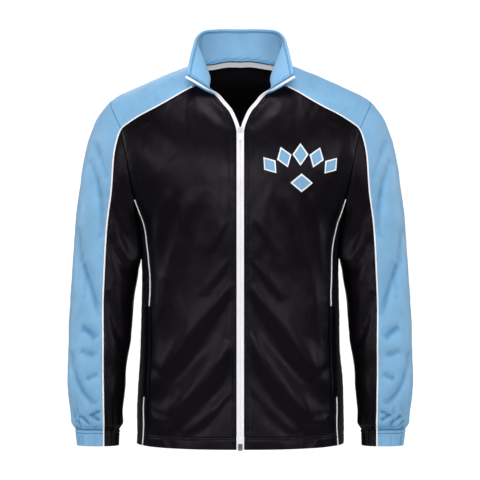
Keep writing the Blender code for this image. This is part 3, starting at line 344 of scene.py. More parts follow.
# Width of a slider plate and of the pull tab, as a share of the full width, level by level
Taper = namedtuple("Taper", "y share")
PLATE_TAPER = [
    Taper(-0.0056, 0.66),
    Taper(-0.0036, 0.80),
    Taper(-0.0008, 0.84),
    Taper(0.0018, 1.00),
    Taper(0.0042, 1.00),
    Taper(0.0056, 0.70),
]
TAB_TAPER = [
    Taper(-TAB_LENGTH, 0.80),
    Taper(-0.0182, 1.00),
    Taper(-0.0165, 1.00),
    Taper(-0.0085, 0.84),
    Taper(-TAB_EYE_END, 0.86),
    Taper(0.0006, 0.80),
]


# Seams: the roll into them, and the puckers that their stitches draw
SEAM_DIP = 0.0011
SEAM_ROLL = 0.0018
PUCKER_DEPTH = 0.00014
PUCKER_REACH = 0.011
PUCKER_CLEAR = 0.002
PUCKER_LONG = 0.0031
PUCKER_SHORT = 0.0019

# Thread: how far it lies proud, how flat it is, and its tone beside that of its cloth
THREAD_LIFT = 0.25
THREAD_FLATNESS = 0.8
DARK_THREAD = 1.6
PALE_THREAD = 0.92

# Stitches: how far they sink, and their distances from the edge that they follow
STITCH_DIP = 0.0008
STITCH_REACH = 0.0010
HEM_STITCHES = (0.0170, 0.0205)
CUFF_STITCHES = (0.0012, 0.0070)
FRONT_STITCHES = (0.0105,)
FRONT_STITCHES_FOOT = 0.003
COLLAR_STITCHES = (0.0060,)
WELT_STITCHES = (0.002,)
NECK_TAPE_STITCHES = (0.0012,)

# The collar's rounded edge
RIM_SWELL = 0.0007
RIM_MIDDLE = 0.0026
RIM_REACH = 0.0030
RIM_DIP = 0.0010
RIM_DIP_REACH = 0.0014

# Rounding of cut edges and of hard pieces, and the angles at which their shading breaks
EDGE_ROUNDING = 0.0004
BADGE_ROUNDING = 0.00012
HARD_ROUNDING = 0.0003
CLOTH_ANGLE = 50
HARD_ANGLE = 35

# Chest badge: a bent row of lozenges, each a rim under a heart, and a larger one below
BADGE_X = 0.106
BADGE_Z = -0.166
BADGE_RADIUS = 0.086
BADGE_COUNT = 5
BADGE_STEP = 0.34
BADGE_SHRINK = 0.10
BADGE_LOW_X = 0.108
BADGE_LOW_Z = -0.216
BADGE_NET = 7
BADGE_NEAREST = 8
BadgeLayer = namedtuple("BadgeLayer", "name half_x half_z low_half_x low_half_z wall lift")
BADGE_LAYERS = [
    BadgeLayer("rim", 0.0142, 0.0200, 0.0200, 0.0165, 0.0004, 0.0002),
    BadgeLayer("heart", 0.0110, 0.0162, 0.0160, 0.0130, 0.0003, 0.0006),
]

# Sleeves laid against the body, and the sag above the cuffs
LEAN_GAP = 0.0010
LEAN_Y = -0.006
LEAN_REACH = 0.030
LEAN_FOOT_Z = -0.374
LEAN_RUN = 0.028
LEAN_INNER_X = 0.208
LEAN_FADE = 0.030
LEAN_FROM_RING = 0.4
LEAN_RINGS = 1.6
BLOUSE = 0.0026
BLOUSE_RING = 17.7
BLOUSE_REACH = 0.9
CUFF_DRAW = 0.0022
CUFF_RISE = 0.0036
CUFF_RISE_Z = -0.570
CUFF_RISE_RUN = 0.070
CUFF_FOLDS_FADE = 0.3

# Painted crease shade: how far the cloth bends before a crease is fully darkened, and the colour that a
# crease loses. The black cloth's gloss is tinted, and a painted shade darkens the cloth beside its seams
# too
CREASE_BEND = 130.0
NEUTRAL_PAINTED_CREASE_SHADE = (0.38, 0.38, 0.38)
BLUE_PAINTED_CREASE_SHADE = (0.80, 0.50, 0.36)
BLACK_TINT = (0.92, 0.80, 1.0)
SEAM_SHADE = 0.9
SEAM_SHADE_REACH = 0.0010

# Weaves: rows and slant of the knit's stitches, slant of the tape's yarns, and plain and added shade
KNIT_ROWS = 1.3
KNIT_SLANT = 1.4
KNIT_SHADE = (0.90, 0.16)
YARN_SLANT = 4.0
YARN_SHADE = (0.93, 0.05)

# Room and camera
OPENING = math.radians(11)
OPENING_EDGE = math.radians(14)
OPENING_STRENGTH = 1.1
FLOOR_RADIUS = 1.9
CAMERA_X = -0.0005
CAMERA_Z = -0.3167
SENSOR = 36

# Lamps: round, turned to one spot. power names the setting that holds it
Lamp = namedtuple("Lamp", "name x y z width power")
LAMP_AIM = (0, 0, -0.32)
LAMPS = [
    Lamp("key light", -0.15, -4.2, 0.30, 1.5, "key_power"),
    Lamp("left front light", 2.6, -3.05, 0.35, 1.5, "front_power"),
    Lamp("right front light", -2.6, -3.05, 0.35, 1.5, "front_power"),
    Lamp("top light", 0.0, -0.9, 1.9, 1.2, "top_power"),
    Lamp("left light", 2.7, 0.5, 0.2, 1.4, "side_power"),
    Lamp("right light", -2.7, 0.5, 0.2, 1.4, "side_power"),
    Lamp("back light", -0.8, 2.6, 2.0, 1.6, "back_power"),
]


# Creases of the cloth, seen from their face: a soft trough (depth below 0) or ridge along a bent
# line, or a bank, which falls from a ridge on the line's outer side to a trough on the zip's side
Fold = namedtuple("Fold", "face side x0 z0 x1 z1 x2 z2 width depth shape", defaults=["crease"])
BOTH, LEFT, RIGHT = 0, 1, -1
BODY_FOLDS = [
    Fold("front", BOTH, 0.062, -0.074, 0.040, -0.094, 0.018, -0.118, 0.009, -0.0012),
    Fold("front", BOTH, 0.078, -0.076, 0.056, -0.106, 0.026, -0.136, 0.010, 0.0010),
    Fold("front", BOTH, 0.168, -0.110, 0.150, -0.150, 0.126, -0.180, 0.020, -0.0026),
    Fold("front", BOTH, 0.160, -0.540, 0.146, -0.556, 0.128, -0.560, 0.009, -0.0018),
    Fold("front", RIGHT, 0.118, -0.232, 0.138, -0.301, 0.150, -0.377, 0.013, -0.0022, "bank"),
    Fold("front", RIGHT, 0.066, -0.229, 0.099, -0.304, 0.147, -0.502, 0.017, -0.0019, "bank"),
    Fold("front", RIGHT, 0.023, -0.285, 0.037, -0.319, 0.052, -0.345, 0.007, -0.0009, "bank"),
    Fold("front", RIGHT, 0.018, -0.352, 0.040, -0.389, 0.059, -0.419, 0.008, -0.0013, "bank"),
    Fold("front", RIGHT, 0.011, -0.398, 0.083, -0.502, 0.162, -0.605, 0.017, -0.0046, "bank"),
    Fold("front", RIGHT, 0.013, -0.500, 0.038, -0.580, 0.145, -0.664, 0.019, -0.0048, "bank"),
    Fold("front", RIGHT, 0.013, -0.581, 0.049, -0.638, 0.103, -0.664, 0.009, -0.0020, "bank"),
    Fold("front", RIGHT, 0.157, -0.621, 0.144, -0.636, 0.120, -0.634, 0.006, -0.0012, "bank"),
    Fold("front", LEFT, 0.116, -0.236, 0.131, -0.331, 0.161, -0.419, 0.013, -0.0022, "bank"),
    Fold("front", LEFT, 0.063, -0.236, 0.109, -0.320, 0.133, -0.496, 0.017, -0.0019, "bank"),
    Fold("front", LEFT, 0.024, -0.278, 0.043, -0.314, 0.058, -0.347, 0.007, -0.0009, "bank"),
    Fold("front", LEFT, 0.022, -0.356, 0.043, -0.391, 0.073, -0.426, 0.008, -0.0015, "bank"),
    Fold("front", LEFT, 0.015, -0.401, 0.071, -0.502, 0.165, -0.609, 0.017, -0.0046, "bank"),
    Fold("front", LEFT, 0.015, -0.482, 0.036, -0.582, 0.144, -0.664, 0.019, -0.0048, "bank"),
    Fold("front", LEFT, 0.015, -0.570, 0.041, -0.623, 0.098, -0.662, 0.009, -0.0020, "bank"),
    Fold("front", LEFT, 0.158, -0.625, 0.140, -0.638, 0.123, -0.634, 0.006, -0.0012, "bank"),
    Fold("back", LEFT, 0.030, -0.200, 0.070, -0.300, 0.085, -0.390, 0.015, -0.0045),
    Fold("back", RIGHT, 0.040, -0.180, 0.065, -0.290, 0.100, -0.370, 0.015, -0.0045),
    Fold("back", BOTH, 0.172, -0.258, 0.116, -0.274, 0.060, -0.286, 0.013, -0.0036),
    Fold("back", LEFT, 0.160, -0.404, 0.100, -0.424, 0.030, -0.420, 0.015, -0.0042),
    Fold("back", RIGHT, 0.160, -0.436, 0.095, -0.462, 0.018, -0.456, 0.015, -0.0042),
    Fold("back", BOTH, 0.020, -0.490, 0.090, -0.560, 0.120, -0.640, 0.015, -0.0050),
]
SLEEVE_FOLDS = [
    Fold("front", BOTH, 0.288, -0.474, 0.272, -0.480, 0.257, -0.494, 0.009, -0.0056),
    Fold("front", BOTH, 0.288, -0.514, 0.274, -0.523, 0.257, -0.521, 0.008, -0.0034),
    Fold("front", BOTH, 0.279, -0.566, 0.268, -0.564, 0.256, -0.555, 0.007, -0.0028),
    Fold("front", BOTH, 0.307, -0.515, 0.298, -0.589, 0.258, -0.612, 0.009, -0.0048),
    Fold("front", BOTH, 0.281, -0.356, 0.268, -0.407, 0.251, -0.457, 0.009, -0.0062),
    Fold("front", BOTH, 0.274, -0.169, 0.250, -0.211, 0.247, -0.317, 0.009, -0.0064),
    Fold("front", BOTH, 0.265, -0.133, 0.254, -0.160, 0.238, -0.209, 0.008, -0.0052),
    Fold("front", BOTH, 0.296, -0.292, 0.287, -0.355, 0.278, -0.425, 0.009, -0.0056),
    Fold("front", BOTH, 0.232, -0.250, 0.205, -0.300, 0.190, -0.350, 0.012, -0.0050),
    Fold("front", BOTH, 0.240, -0.310, 0.215, -0.350, 0.196, -0.390, 0.010, -0.0040),
    Fold("front", BOTH, 0.240, -0.410, 0.222, -0.470, 0.206, -0.520, 0.010, -0.0045),
    Fold("back", BOTH, 0.285, -0.360, 0.250, -0.400, 0.205, -0.395, 0.010, -0.0045),
    Fold("back", BOTH, 0.295, -0.450, 0.250, -0.470, 0.208, -0.450, 0.009, -0.0040),
    Fold("back", BOTH, 0.230, -0.180, 0.262, -0.260, 0.250, -0.330, 0.012, -0.0040),
    Fold("back", BOTH, 0.300, -0.560, 0.262, -0.600, 0.225, -0.590, 0.009, -0.0035),
]
CUFF_FOLDS = [
    Fold("front", BOTH, 0.290, -0.632, 0.278, -0.638, 0.268, -0.652, 0.0040, -0.0034),
    Fold("front", BOTH, 0.271, -0.630, 0.261, -0.635, 0.253, -0.642, 0.0045, -0.0042),
    Fold("front", BOTH, 0.252, -0.622, 0.260, -0.629, 0.269, -0.634, 0.0035, -0.0026),
    Fold("front", BOTH, 0.294, -0.640, 0.289, -0.646, 0.284, -0.652, 0.0030, -0.0018),
    Fold("back", BOTH, 0.286, -0.628, 0.270, -0.640, 0.255, -0.637, 0.0045, -0.0034),
    Fold("back", BOTH, 0.240, -0.624, 0.226, -0.634, 0.214, -0.648, 0.0040, -0.0030),
]

# How the folds are laid: the steps of a line, how narrow a bank starts, which way the cloth has to face
# to take a fold, and the calm stretch beside the zip
FOLD_STEPS = 14
BANK_START = 0.55
FACING_FROM = 0.10
FACING_RUN = 0.5
CALM_FROM_X = 0.006
CALM_RUN = 0.013

# Crumple: smooth noise, drawn out along each piece
CRUMPLE_DEPTH = 0.0011
CRUMPLE_NOISE = (0.9, 2.1, 3)
CRUMPLE_BODY = (24.0, 24.0, 13.0)
CRUMPLE_SLEEVE = (26.0, 26.0, 19.0)


# ---------------------------------------------------------------- smooth tables and vectors


def through(keys, values):
    """A smooth function that passes through each row of values at its key."""
    keys = np.asarray(keys, float)
    values = np.asarray(values, float).reshape(len(keys), -1)
    slopes = np.gradient(values, keys, axis=0)

    def at(key):
        key = np.clip(np.asarray(key, float), keys[0], keys[-1])
        low = np.clip(np.searchsorted(keys, key, side="right") - 1, 0, len(keys) - 2)
        span = keys[low + 1] - keys[low]
        t = ((key - keys[low]) / span)[..., None]
        span = span[..., None]
        start = (1 + 2 * t) * (1 - t) ** 2 * values[low] + t * (1 - t) ** 2 * span * slopes[low]
        end = t**2 * (3 - 2 * t) * values[low + 1] - t**2 * (1 - t) * span * slopes[low + 1]
        return start + end

    return at


def spaced(points, segments):
    """The points of a smooth line through the given ones, evenly spaced."""
    points = np.asarray(points, float)
    along = run_along(points, 0)
    return through(along, points)(np.linspace(0.0, along[-1], segments + 1))


def unit(vectors):
    return vectors / np.maximum(np.linalg.norm(vectors, axis=-1, keepdims=True), 1e-12)


def soft(t):
    """A soft step from 0 up to 1."""
    t = np.clip(t, 0.0, 1.0)
    return t * t * (3 - 2 * t)


def bell(t):
    """1 at the middle, falling softly to 0 on both sides."""
    return np.exp(-(t**2))


def run_along(points, axis):
    """Arc length along a line of points, or along the rows or columns of a grid, from its start."""
    steps = np.linalg.norm(np.diff(points, axis=axis), axis=-1)
    start = np.zeros_like(np.take(steps, [0], axis=axis))
    return np.concatenate([start, np.cumsum(steps, axis=axis)], axis=axis)


def mirrored(rows, side=-1):
    """Rows of (p, v) or of points, moved to the given side of the body."""
    return np.concatenate([rows[..., :1] * side, rows[..., 1:]], axis=-1)


# ---------------------------------------------------------------- folds


def fold_line(fold):
    t = np.linspace(0, 1, FOLD_STEPS + 1)[:, None]
    ends = np.array([[fold.x0, fold.z0], [fold.x1, fold.z1], [fold.x2, fold.z2]])
    return (1 - t) ** 2 * ends[0] + 2 * t * (1 - t) * ends[1] + t**2 * ends[2]


def fold_height(fold, spots):
    """How far one fold lifts the cloth at each (x, z) spot."""
    line = fold_line(fold)
    start, step = line[:-1], np.diff(line, axis=0)
    offset = spots[:, None, :] - start[None]
    share = np.clip((offset * step).sum(-1) / (step**2).sum(-1), 0, 1)
    distance = np.linalg.norm(offset - share[..., None] * step[None], axis=-1)
    nearest = distance.argmin(1)
    rows = np.arange(len(spots))
    along = (nearest + share[rows, nearest]) / FOLD_STEPS
    taper = np.sqrt(np.clip(np.sin(math.pi * along), 0, 1))
    reach = distance[rows, nearest] / fold.width
    if fold.shape == "crease":
        return fold.depth * bell(reach) * taper
    apart, ahead = offset[rows, nearest], step[nearest]
    aside = apart[:, 0] * ahead[:, 1] - apart[:, 1] * ahead[:, 0]
    reach = reach / (BANK_START + (1 - BANK_START) * soft(2 * along))
    return fold.depth * taper * np.sign(aside) * reach * np.exp(0.5 * (1 - reach**2))


def folded(points, normals, folds, strength=1.0):
    """The points pushed along their normals by every fold on their face and side."""
    flat, out = points.reshape(-1, 3), normals.reshape(-1, 3)
    spots = np.stack([np.abs(flat[:, 0]), flat[:, 2]], axis=1)
    lift = np.zeros(len(flat))
    for fold in folds:
        facing = out[:, 1] if fold.face == "back" else -out[:, 1]
        facing = soft((facing - FACING_FROM) / FACING_RUN)
        if fold.side != BOTH:
            facing = facing * (np.sign(flat[:, 0]) == fold.side)
        lift += facing * fold_height(fold, spots)
    lift = lift.reshape(points.shape[:-1]) * strength
    return points + lift[..., None] * normals


# ---------------------------------------------------------------- the torso


BODY_AT = through([level.z for level in BODY], [level[1:] for level in BODY])
SHOULDER_AT = through([row.x for row in SHOULDER], [row.z for row in SHOULDER])


def ridge_z(x):
    """Height of the shoulder line, carried on over the neck opening as a low arch."""
    x = np.abs(x)
    arch = NECK_RISE * (1 - (x / SHOULDER_POINT_X) ** 2)
    return np.where(x < SHOULDER_POINT_X, arch, SHOULDER_AT(x)[..., 0])


def cap_height(x, v):
    return np.where(v > 0, BACK_CAP, FRONT_CAP_CENTRE - FRONT_CAP_SLOPE * np.abs(x))


def torso_point(p, v):
    """p runs from -1 to 1 side to side, v from the shoulder line down: front below 0, back above."""
    p, v = np.broadcast_arrays(np.asarray(p, float), np.asarray(v, float))
    across, reach = np.sin(p * math.pi / 2), np.abs(v)
    x = 0.2 * across  # a first guess: the width sets the level, and the level the width
    for _ in range(TORSO_ROUNDS):
        cap = cap_height(x, v)
        drop = np.where(reach < math.pi / 2, 1 - np.cos(reach), 1 + reach - math.pi / 2)
        z = ridge_z(x) - cap * drop
        x = BODY_AT(z)[..., 0] * across
    depth = np.where(v > 0, BODY_AT(z)[..., 2], -BODY_AT(z)[..., 1])
    round_side = np.sqrt(1 - np.minimum(np.abs(across), 1) ** SECTION_POWER)
    round_side = round_side * np.sign(np.cos(p * math.pi / 2) + 1e-15)
    y = RIDGE_Y + depth * round_side * np.sin(np.minimum(reach, math.pi / 2))
    return np.stack([x, y, z], axis=-1)


def torso_place(x, z, back=False):
    """The (p, v) of the spot that shows at (x, z) from the front, or from the back."""
    x, z = np.asarray(x, float), np.asarray(z, float)
    side = 1.0 if back else -1.0
    p = np.arcsin(np.clip(x / BODY_AT(z)[..., 0], -1, 1)) * 2 / math.pi
    share = np.maximum(ridge_z(x) - z, 0) / cap_height(x, side)
    reach = np.where(share < 1, np.arccos(1 - np.minimum(share, 1)), math.pi / 2 + share - 1)
    return np.stack([p, side * reach], axis=-1)


def crumpled(points, normals, stretch, strength):
    """Small uneven creases over the cloth, from smooth noise drawn out along it."""
    flat = points.reshape(-1, 3) * np.asarray(stretch)
    heights = [noise.fractal(Vector(spot), *CRUMPLE_NOISE) for spot in flat]
    lift = CRUMPLE_DEPTH * np.reshape(heights, points.shape[:-1]) * strength
    return points + lift[..., None] * normals


def torso_surface(places):
    """Points and outward normals, folds included, at rows of (p, v)."""
    p, v = places[..., 0], places[..., 1]
    step = 1e-4
    across = torso_point(p + step, v) - torso_point(p - step, v)
    down = torso_point(p, v + step) - torso_point(p, v - step)
    normals = unit(np.cross(across, down))
    points = torso_point(p, v)
    calm = soft((np.abs(points[..., 0]) - CALM_FROM_X) / CALM_RUN)
    points = folded(points, normals, BODY_FOLDS, calm)
    return crumpled(points, normals, CRUMPLE_BODY, calm), normals


def on_torso(spots, segments, back=False):
    """Evenly spaced (p, v) along a line of spots."""
    line = spaced([(spot[0], spot[1]) for spot in spots], segments)
    return torso_place(line[:, 0], line[:, 1], back)


def joined(*lines):
    """Lines end to end, each shared end kept once."""
    return np.concatenate([lines[0]] + [line[1:] for line in lines[1:]])


def patch(top, bottom, left, right):
    """A grid of (p, v) that fills four edge lines: top and bottom run left to right."""
    rows, columns = len(left), len(top)
    u = np.linspace(0, 1, columns)[None, :, None]
    w = np.linspace(0, 1, rows)[:, None, None]
    ruled = (1 - w) * top[None] + w * bottom[None] + (1 - u) * left[:, None] + u * right[:, None]
    corners = (1 - w) * ((1 - u) * top[0] + u * top[-1]) + w * ((1 - u) * bottom[0] + u * bottom[-1])
    return ruled - corners


# ---------------------------------------------------------------- seam lines of the left half


def zip_edge_line():
    """The zip's edge from the neck seam down to the hem: an open V, then straight."""
    open_part = spaced(ZIP_V_LINE, ZIP_V_ROWS)
    rows = FRONT_ARMHOLE + SIDE_ROWS - ZIP_V_ROWS
    closed_z = np.linspace(ZIP_V_END_Z, HEM_Z, rows + 1)
    closed = np.stack([np.full(rows + 1, ZIP_EDGE_X), closed_z], axis=1)
    line = joined(open_part, closed)
    return torso_place(line[:, 0], line[:, 1])


def yoke_end_line(front, back, segments):
    """From a front spot over the shoulder line to a back spot, by equal steps of v."""
    share = np.linspace(-1, 1, segments + 1)
    v = np.where(share < 0, -share * front[0][1], share * back[0][1])
    p_front = np.interp(v, [row[1] for row in front], [row[0] for row in front])
    p_back = np.interp(v, [row[1] for row in back[::-1]], [row[0] for row in back[::-1]])
    return np.stack([np.where(v < 0, p_front, p_back), v], axis=-1)


def ridge_place(x):
    """The (p, v) of a spot on the shoulder line."""
    place = torso_place(x, ridge_z(np.asarray(x, float)))
    return np.array([place[0], 0.0])


def neck_yoke_line():
    front = [torso_place(spot.x, spot.z) for spot in NECK_END_LINE]
    back = [back_neck_place(*BACK_NECK_LINE[1]), back_neck_place(*BACK_NECK_LINE[0])]
    top = ridge_place(SHOULDER_POINT_X)
    return yoke_end_line(np.vstack([front, top]), np.vstack([back, top]), YOKE_ARMHOLE)


def back_neck_place(x, y):
    """The (p, v) of a back neck spot given from above."""
    z = 0.0
    for _ in range(NECK_ROUNDS):
        width, _, depth = BODY_AT(z)
        share = (y - RIDGE_Y) / (depth * math.sqrt(1 - (x / width) ** SECTION_POWER))
        reach = math.asin(share)
        z = float(ridge_z(x)) - BACK_CAP * (1 - math.cos(reach))
    return np.array([math.asin(x / width) * 2 / math.pi, reach])


def hem_place(p, back=False):
    """The (p, v) of hem spots at these p: 0 at the centre, 1 at the side."""
    x = BODY_AT(HEM_Z)[0] * np.sin(p * math.pi / 2)
    return torso_place(x, np.full_like(x, HEM_Z), back)


def side_edge(rows, back=False):
    """The body's outermost line, from the armpit down to the hem."""
    z = np.linspace(ARMPIT.z, HEM_Z, rows + 1)
    line = torso_place(BODY_AT(z)[:, 0], z, back)
    line[:, 0] = 1.0
    return line


def armhole_top(back):
    """The armhole's line above the yoke seam, up to the shoulder line."""
    spots = ARMHOLE_LINE[ARMHOLE_LINE.index(YOKE_LINE[-1]) : 0 : -1]
    places = [torso_place(spot.x, spot.z, back) for spot in spots]
    return np.array([*places, ridge_place(ARMHOLE_LINE[0].x)])


def left_seams():
    """Every seam line of the left half, as rows of (p, v)."""
    seams = {}
    seams["zip"] = zip_edge_line()
    seams["neck_front"] = on_torso(FRONT_NECK_LINE, FRONT_NECK)
    seams["yoke_front"] = on_torso(YOKE_LINE, YOKE_SEAM)
    low_armhole = ARMHOLE_LINE[ARMHOLE_LINE.index(YOKE_LINE[-1]) :]
    seams["armhole_front"] = on_torso(low_armhole, FRONT_ARMHOLE)
    seams["armhole_side"] = on_torso(UNDERARM_LINE, SIDE_ARMHOLE)
    seams["armhole_side"][-1][0] = 1.0
    seams["side_front"] = on_torso(SIDE_LINE, SIDE_ROWS)
    seams["side_edge"] = side_edge(SIDE_ROWS)
    seams["side_back"] = side_edge(BACK_ROWS, back=True)
    back_armhole = UNDERARM_LINE[:0:-1] + low_armhole[::-1]
    seams["armhole_back"] = on_torso(back_armhole, BACK_ARMHOLE, back=True)
    seams["armhole_back"][0] = seams["side_back"][0]
    yoke_back = on_torso(YOKE_LINE, YOKE_SEAM, back=True)
    fade = np.linspace(1, 0, YOKE_SEAM + 1)[:, None] ** 2
    seams["yoke_back"] = yoke_back + fade * (back_neck_place(*BACK_NECK_LINE[1]) - yoke_back[0])
    seams["armhole_yoke"] = yoke_end_line(armhole_top(False), armhole_top(True), YOKE_ARMHOLE)
    seams["neck_yoke"] = neck_yoke_line()
    neck_back = [back_neck_place(*spot) for spot in BACK_NECK_LINE[1:]]
    seams["neck_back"] = spaced(neck_back, BACK_NECK)
    columns = FRONT_NECK + YOKE_SEAM
    zip_foot, side_foot = seams["zip"][-1][0], seams["side_front"][-1][0]
    seams["hem_front"] = hem_place(np.linspace(zip_foot, side_foot, columns + 1))
    seams["hem_side"] = hem_place(np.linspace(side_foot, 1, SIDE_ARMHOLE + 1))
    seams["hem_side"][-1] = seams["side_edge"][-1]
    return seams


# ---------------------------------------------------------------- a sleeve


RING_AT = through(range(len(SLEEVE)), SLEEVE)
LOOP = YOKE_ARMHOLE + BACK_ARMHOLE + SIDE_ARMHOLE + FRONT_ARMHOLE


def sleeve_angle(ring, column):
    """Angle round a ring: 0 at the outer edge, a half turn at the inner edge, front positive."""
    share = RING_AT(ring)[..., 6]
    level = 1 - 2 * share
    piping = np.arccos(np.sign(level) * np.abs(level) ** (SLEEVE_POWER / 2))
    outer = piping * (1 - 2 * column / YOKE_ARMHOLE)
    under_share = (column - YOKE_ARMHOLE) / (LOOP - YOKE_ARMHOLE)
    under = -piping - under_share * (2 * math.pi - 2 * piping)
    return np.where(column <= YOKE_ARMHOLE, outer, under)


def sleeve_plain(ring, column):
    """A point of the sleeve before it is drawn to the armhole."""
    ring, column = np.broadcast_arrays(np.asarray(ring, float), np.asarray(column, float))
    row = RING_AT(ring)
    angle = sleeve_angle(ring, column)
    power = 2 / SLEEVE_POWER
    cosine = np.sign(np.cos(angle)) * np.abs(np.cos(angle)) ** power
    sine = np.sign(np.sin(angle)) * np.abs(np.sin(angle)) ** power
    x = (row[..., 0] + row[..., 2]) / 2 + (row[..., 0] - row[..., 2]) / 2 * cosine
    z = (row[..., 1] + row[..., 3]) / 2 + (row[..., 1] - row[..., 3]) / 2 * cosine
    y = row[..., 5] - row[..., 4] * sine
    return np.stack([x, y, z], axis=-1)


def gathers(rings, columns, side):
    """Pleats above the cuff: long and short ones by turns, as cloth drawn in by elastic."""
    share = columns / FINE
    start = GATHER_START + 1.3 * np.sin(1.9 * share + side) + 0.8 * np.sin(0.7 * share - 1)
    broad = -0.33 + 0.67 * np.cos(math.pi * share)
    fine = 0.30 * np.sin(2.31 * math.pi * share + side) + 0.18 * np.sin(3.7 * math.pi * share)
    on_cuff = 1 - CUFF_CALM * soft((rings - SLEEVE_RINGS) / CUFF_CALM_RUN)
    blouse = BLOUSE * bell((rings - BLOUSE_RING) / BLOUSE_REACH)
    drawn = blouse - CUFF_DRAW * soft((rings - BLOUSE_RING) / (SLEEVE_RINGS - BLOUSE_RING))
    return GATHER_DEPTH * soft((rings - start) / GATHER_RUN) * (broad + fine) * on_cuff + drawn


def leant(points, strength):
    """The sleeve's inner face laid against the body's side below the armhole."""
    x, y, z = np.moveaxis(points, -1, 0)
    level = BODY_AT(z)
    reach = (y - RIDGE_Y) / np.where(y < RIDGE_Y, level[..., 1], level[..., 2])
    side = level[..., 0] * np.maximum(1 - reach**2, 0) ** (1 / SECTION_POWER)
    apart = np.maximum(x - side - LEAN_GAP, 0)
    share = np.exp(-(((y - LEAN_Y) / LEAN_REACH) ** 4)) * soft((z - LEAN_FOOT_Z) / LEAN_RUN)
    share = share * strength * (1 - soft((x - LEAN_INNER_X) / LEAN_FADE))
    return np.stack([x - apart * share, y, z], axis=-1)


def sleeve_grid(armhole, side):
    """Points and normals of rings by columns. The first ring is the armhole itself."""
    count = (len(SLEEVE) - 1) * RING_FINE
    rings = np.linspace(0, len(SLEEVE) - 1, count + 1)[:, None]
    columns = np.arange(LOOP + 1, dtype=float)[None, :]
    pull = armhole - sleeve_plain(0.0, columns[0])

    def surface(ring, column):
        ring, column = np.broadcast_arrays(ring, column)
        wrapped = column % LOOP
        near = np.floor(wrapped).astype(int)
        share = (wrapped - near)[..., None]
        drawn = pull[near % LOOP] * (1 - share) + pull[(near + 1) % LOOP] * share
        plain = sleeve_plain(ring, wrapped) + drawn * (1 - soft(ring / ARMHOLE_REACH))[..., None]
        laid = leant(plain, soft((ring - LEAN_FROM_RING) / LEAN_RINGS))
        laid[..., 2] += CUFF_RISE * soft((CUFF_RISE_Z - laid[..., 2]) / CUFF_RISE_RUN)
        return laid

    step = 0.02
    along = surface(rings + step, columns) - surface(np.maximum(rings - step, 0), columns)
    around = surface(rings, columns + step) - surface(rings, columns - step)
    normals = unit(np.cross(along, around))
    points = surface(rings, columns)
    strength = soft(rings / FOLDS_RISE) * (1 - soft((rings - FOLDS_END) / GATHER_RUN))
    points = folded(points, normals, SLEEVE_FOLDS, strength)
    above_cuff = 1 - soft((rings - SLEEVE_RINGS) / CUFF_FOLDS_FADE + 1)
    points = folded(points, normals, CUFF_FOLDS, above_cuff)
    points = crumpled(points, normals, CRUMPLE_SLEEVE, strength + 0 * columns)
    return points + gathers(rings, columns, side)[..., None] * normals, normals


# ---------------------------------------------------------------- the collar


COLLAR_AT = through([row.along for row in COLLAR], [row[1:] for row in COLLAR])


def collar_grid(neck):
    """Points from the neck seam up to the top edge, right zip edge to left zip edge."""
    half = len(neck) // 2
    along = run_along(neck[half:], 0)
    stand = COLLAR_AT(along / along[-1])
    stand = np.concatenate([stand[:0:-1] * np.array([-1, 1, 1, -1, 1, 1]), stand])
    middle, top = stand[:, :3], stand[:, 3:]
    t = np.linspace(0, 1, COLLAR_ROWS + 1)[:, None, None]
    points = neck * (1 - t) * (1 - 2 * t) + middle * 4 * t * (1 - t) + top * t * (2 * t - 1)
    along_seam, up = np.gradient(points, axis=1), np.gradient(points, axis=0)
    return points, unit(np.cross(up, along_seam))


# ---------------------------------------------------------------- the pattern, worked out once


PATTERN = {}
GRIDS = {}
ARMHOLE_PARTS = ("armhole_yoke", "armhole_back", "armhole_side", "armhole_front")
NECK_PARTS = ("neck_back", "neck_yoke", "neck_front")


def armhole_loop(frames):
    """The armhole's points and normals as one loop from the front yoke seam over the top."""
    top, *rest = (frames[name] for name in ARMHOLE_PARTS)
    return [joined(top[part], *(line[part][::-1] for line in rest)) for part in (0, 1)]


def pattern():
    """Seam lines, sleeves and collar, worked out the first time that a piece asks for them."""
    if PATTERN:
        return PATTERN
    seams = left_seams()
    frames, necks = {}, {}
    for _, side in SIDES:
        frames[side] = {name: torso_surface(mirrored(places, side)) for name, places in seams.items()}
        armhole, torso_normals = (mirrored(rows, side) for rows in armhole_loop(frames[side]))
        points, normals = sleeve_grid(armhole, side)
        points[0] = armhole
        normals[0] = unit(normals[0] + torso_normals)
        PATTERN["sleeve", side] = (mirrored(points, side), mirrored(normals, side))
        lines = [frames[side][name] for name in NECK_PARTS]
        necks[side] = [joined(*(line[part][::-1] for line in lines)) for part in (0, 1)]
    neck, neck_normals = (joined(right[::-1], left) for left, right in zip(necks[1], necks[-1]))
    collar, collar_normals = collar_grid(neck)
    collar_normals[0] = unit(collar_normals[0] + neck_normals)
    PATTERN.update(seams=seams, frames=frames, collar=(collar, collar_normals))
    return PATTERN


# ---------------------------------------------------------------- finishes


def wire(tree, node, inputs):
    """Links or sets each of a node's inputs."""
    for key, value in dict(inputs).items():
        if isinstance(value, bpy.types.NodeSocket):
            tree.links.new(value, node.inputs[key])
        else:
            node.inputs[key].default_value = value
    return node


def add_node(tree, kind, inputs=(), **settings):
    """A node with its settings made and its inputs linked or set."""
    made = tree.nodes.new(kind)
    for key, value in settings.items():
        setattr(made, key, value)
    return wire(tree, made, inputs)


def calc(tree, operation, *values):
    return add_node(tree, "ShaderNodeMath", enumerate(values), operation=operation).outputs[0]


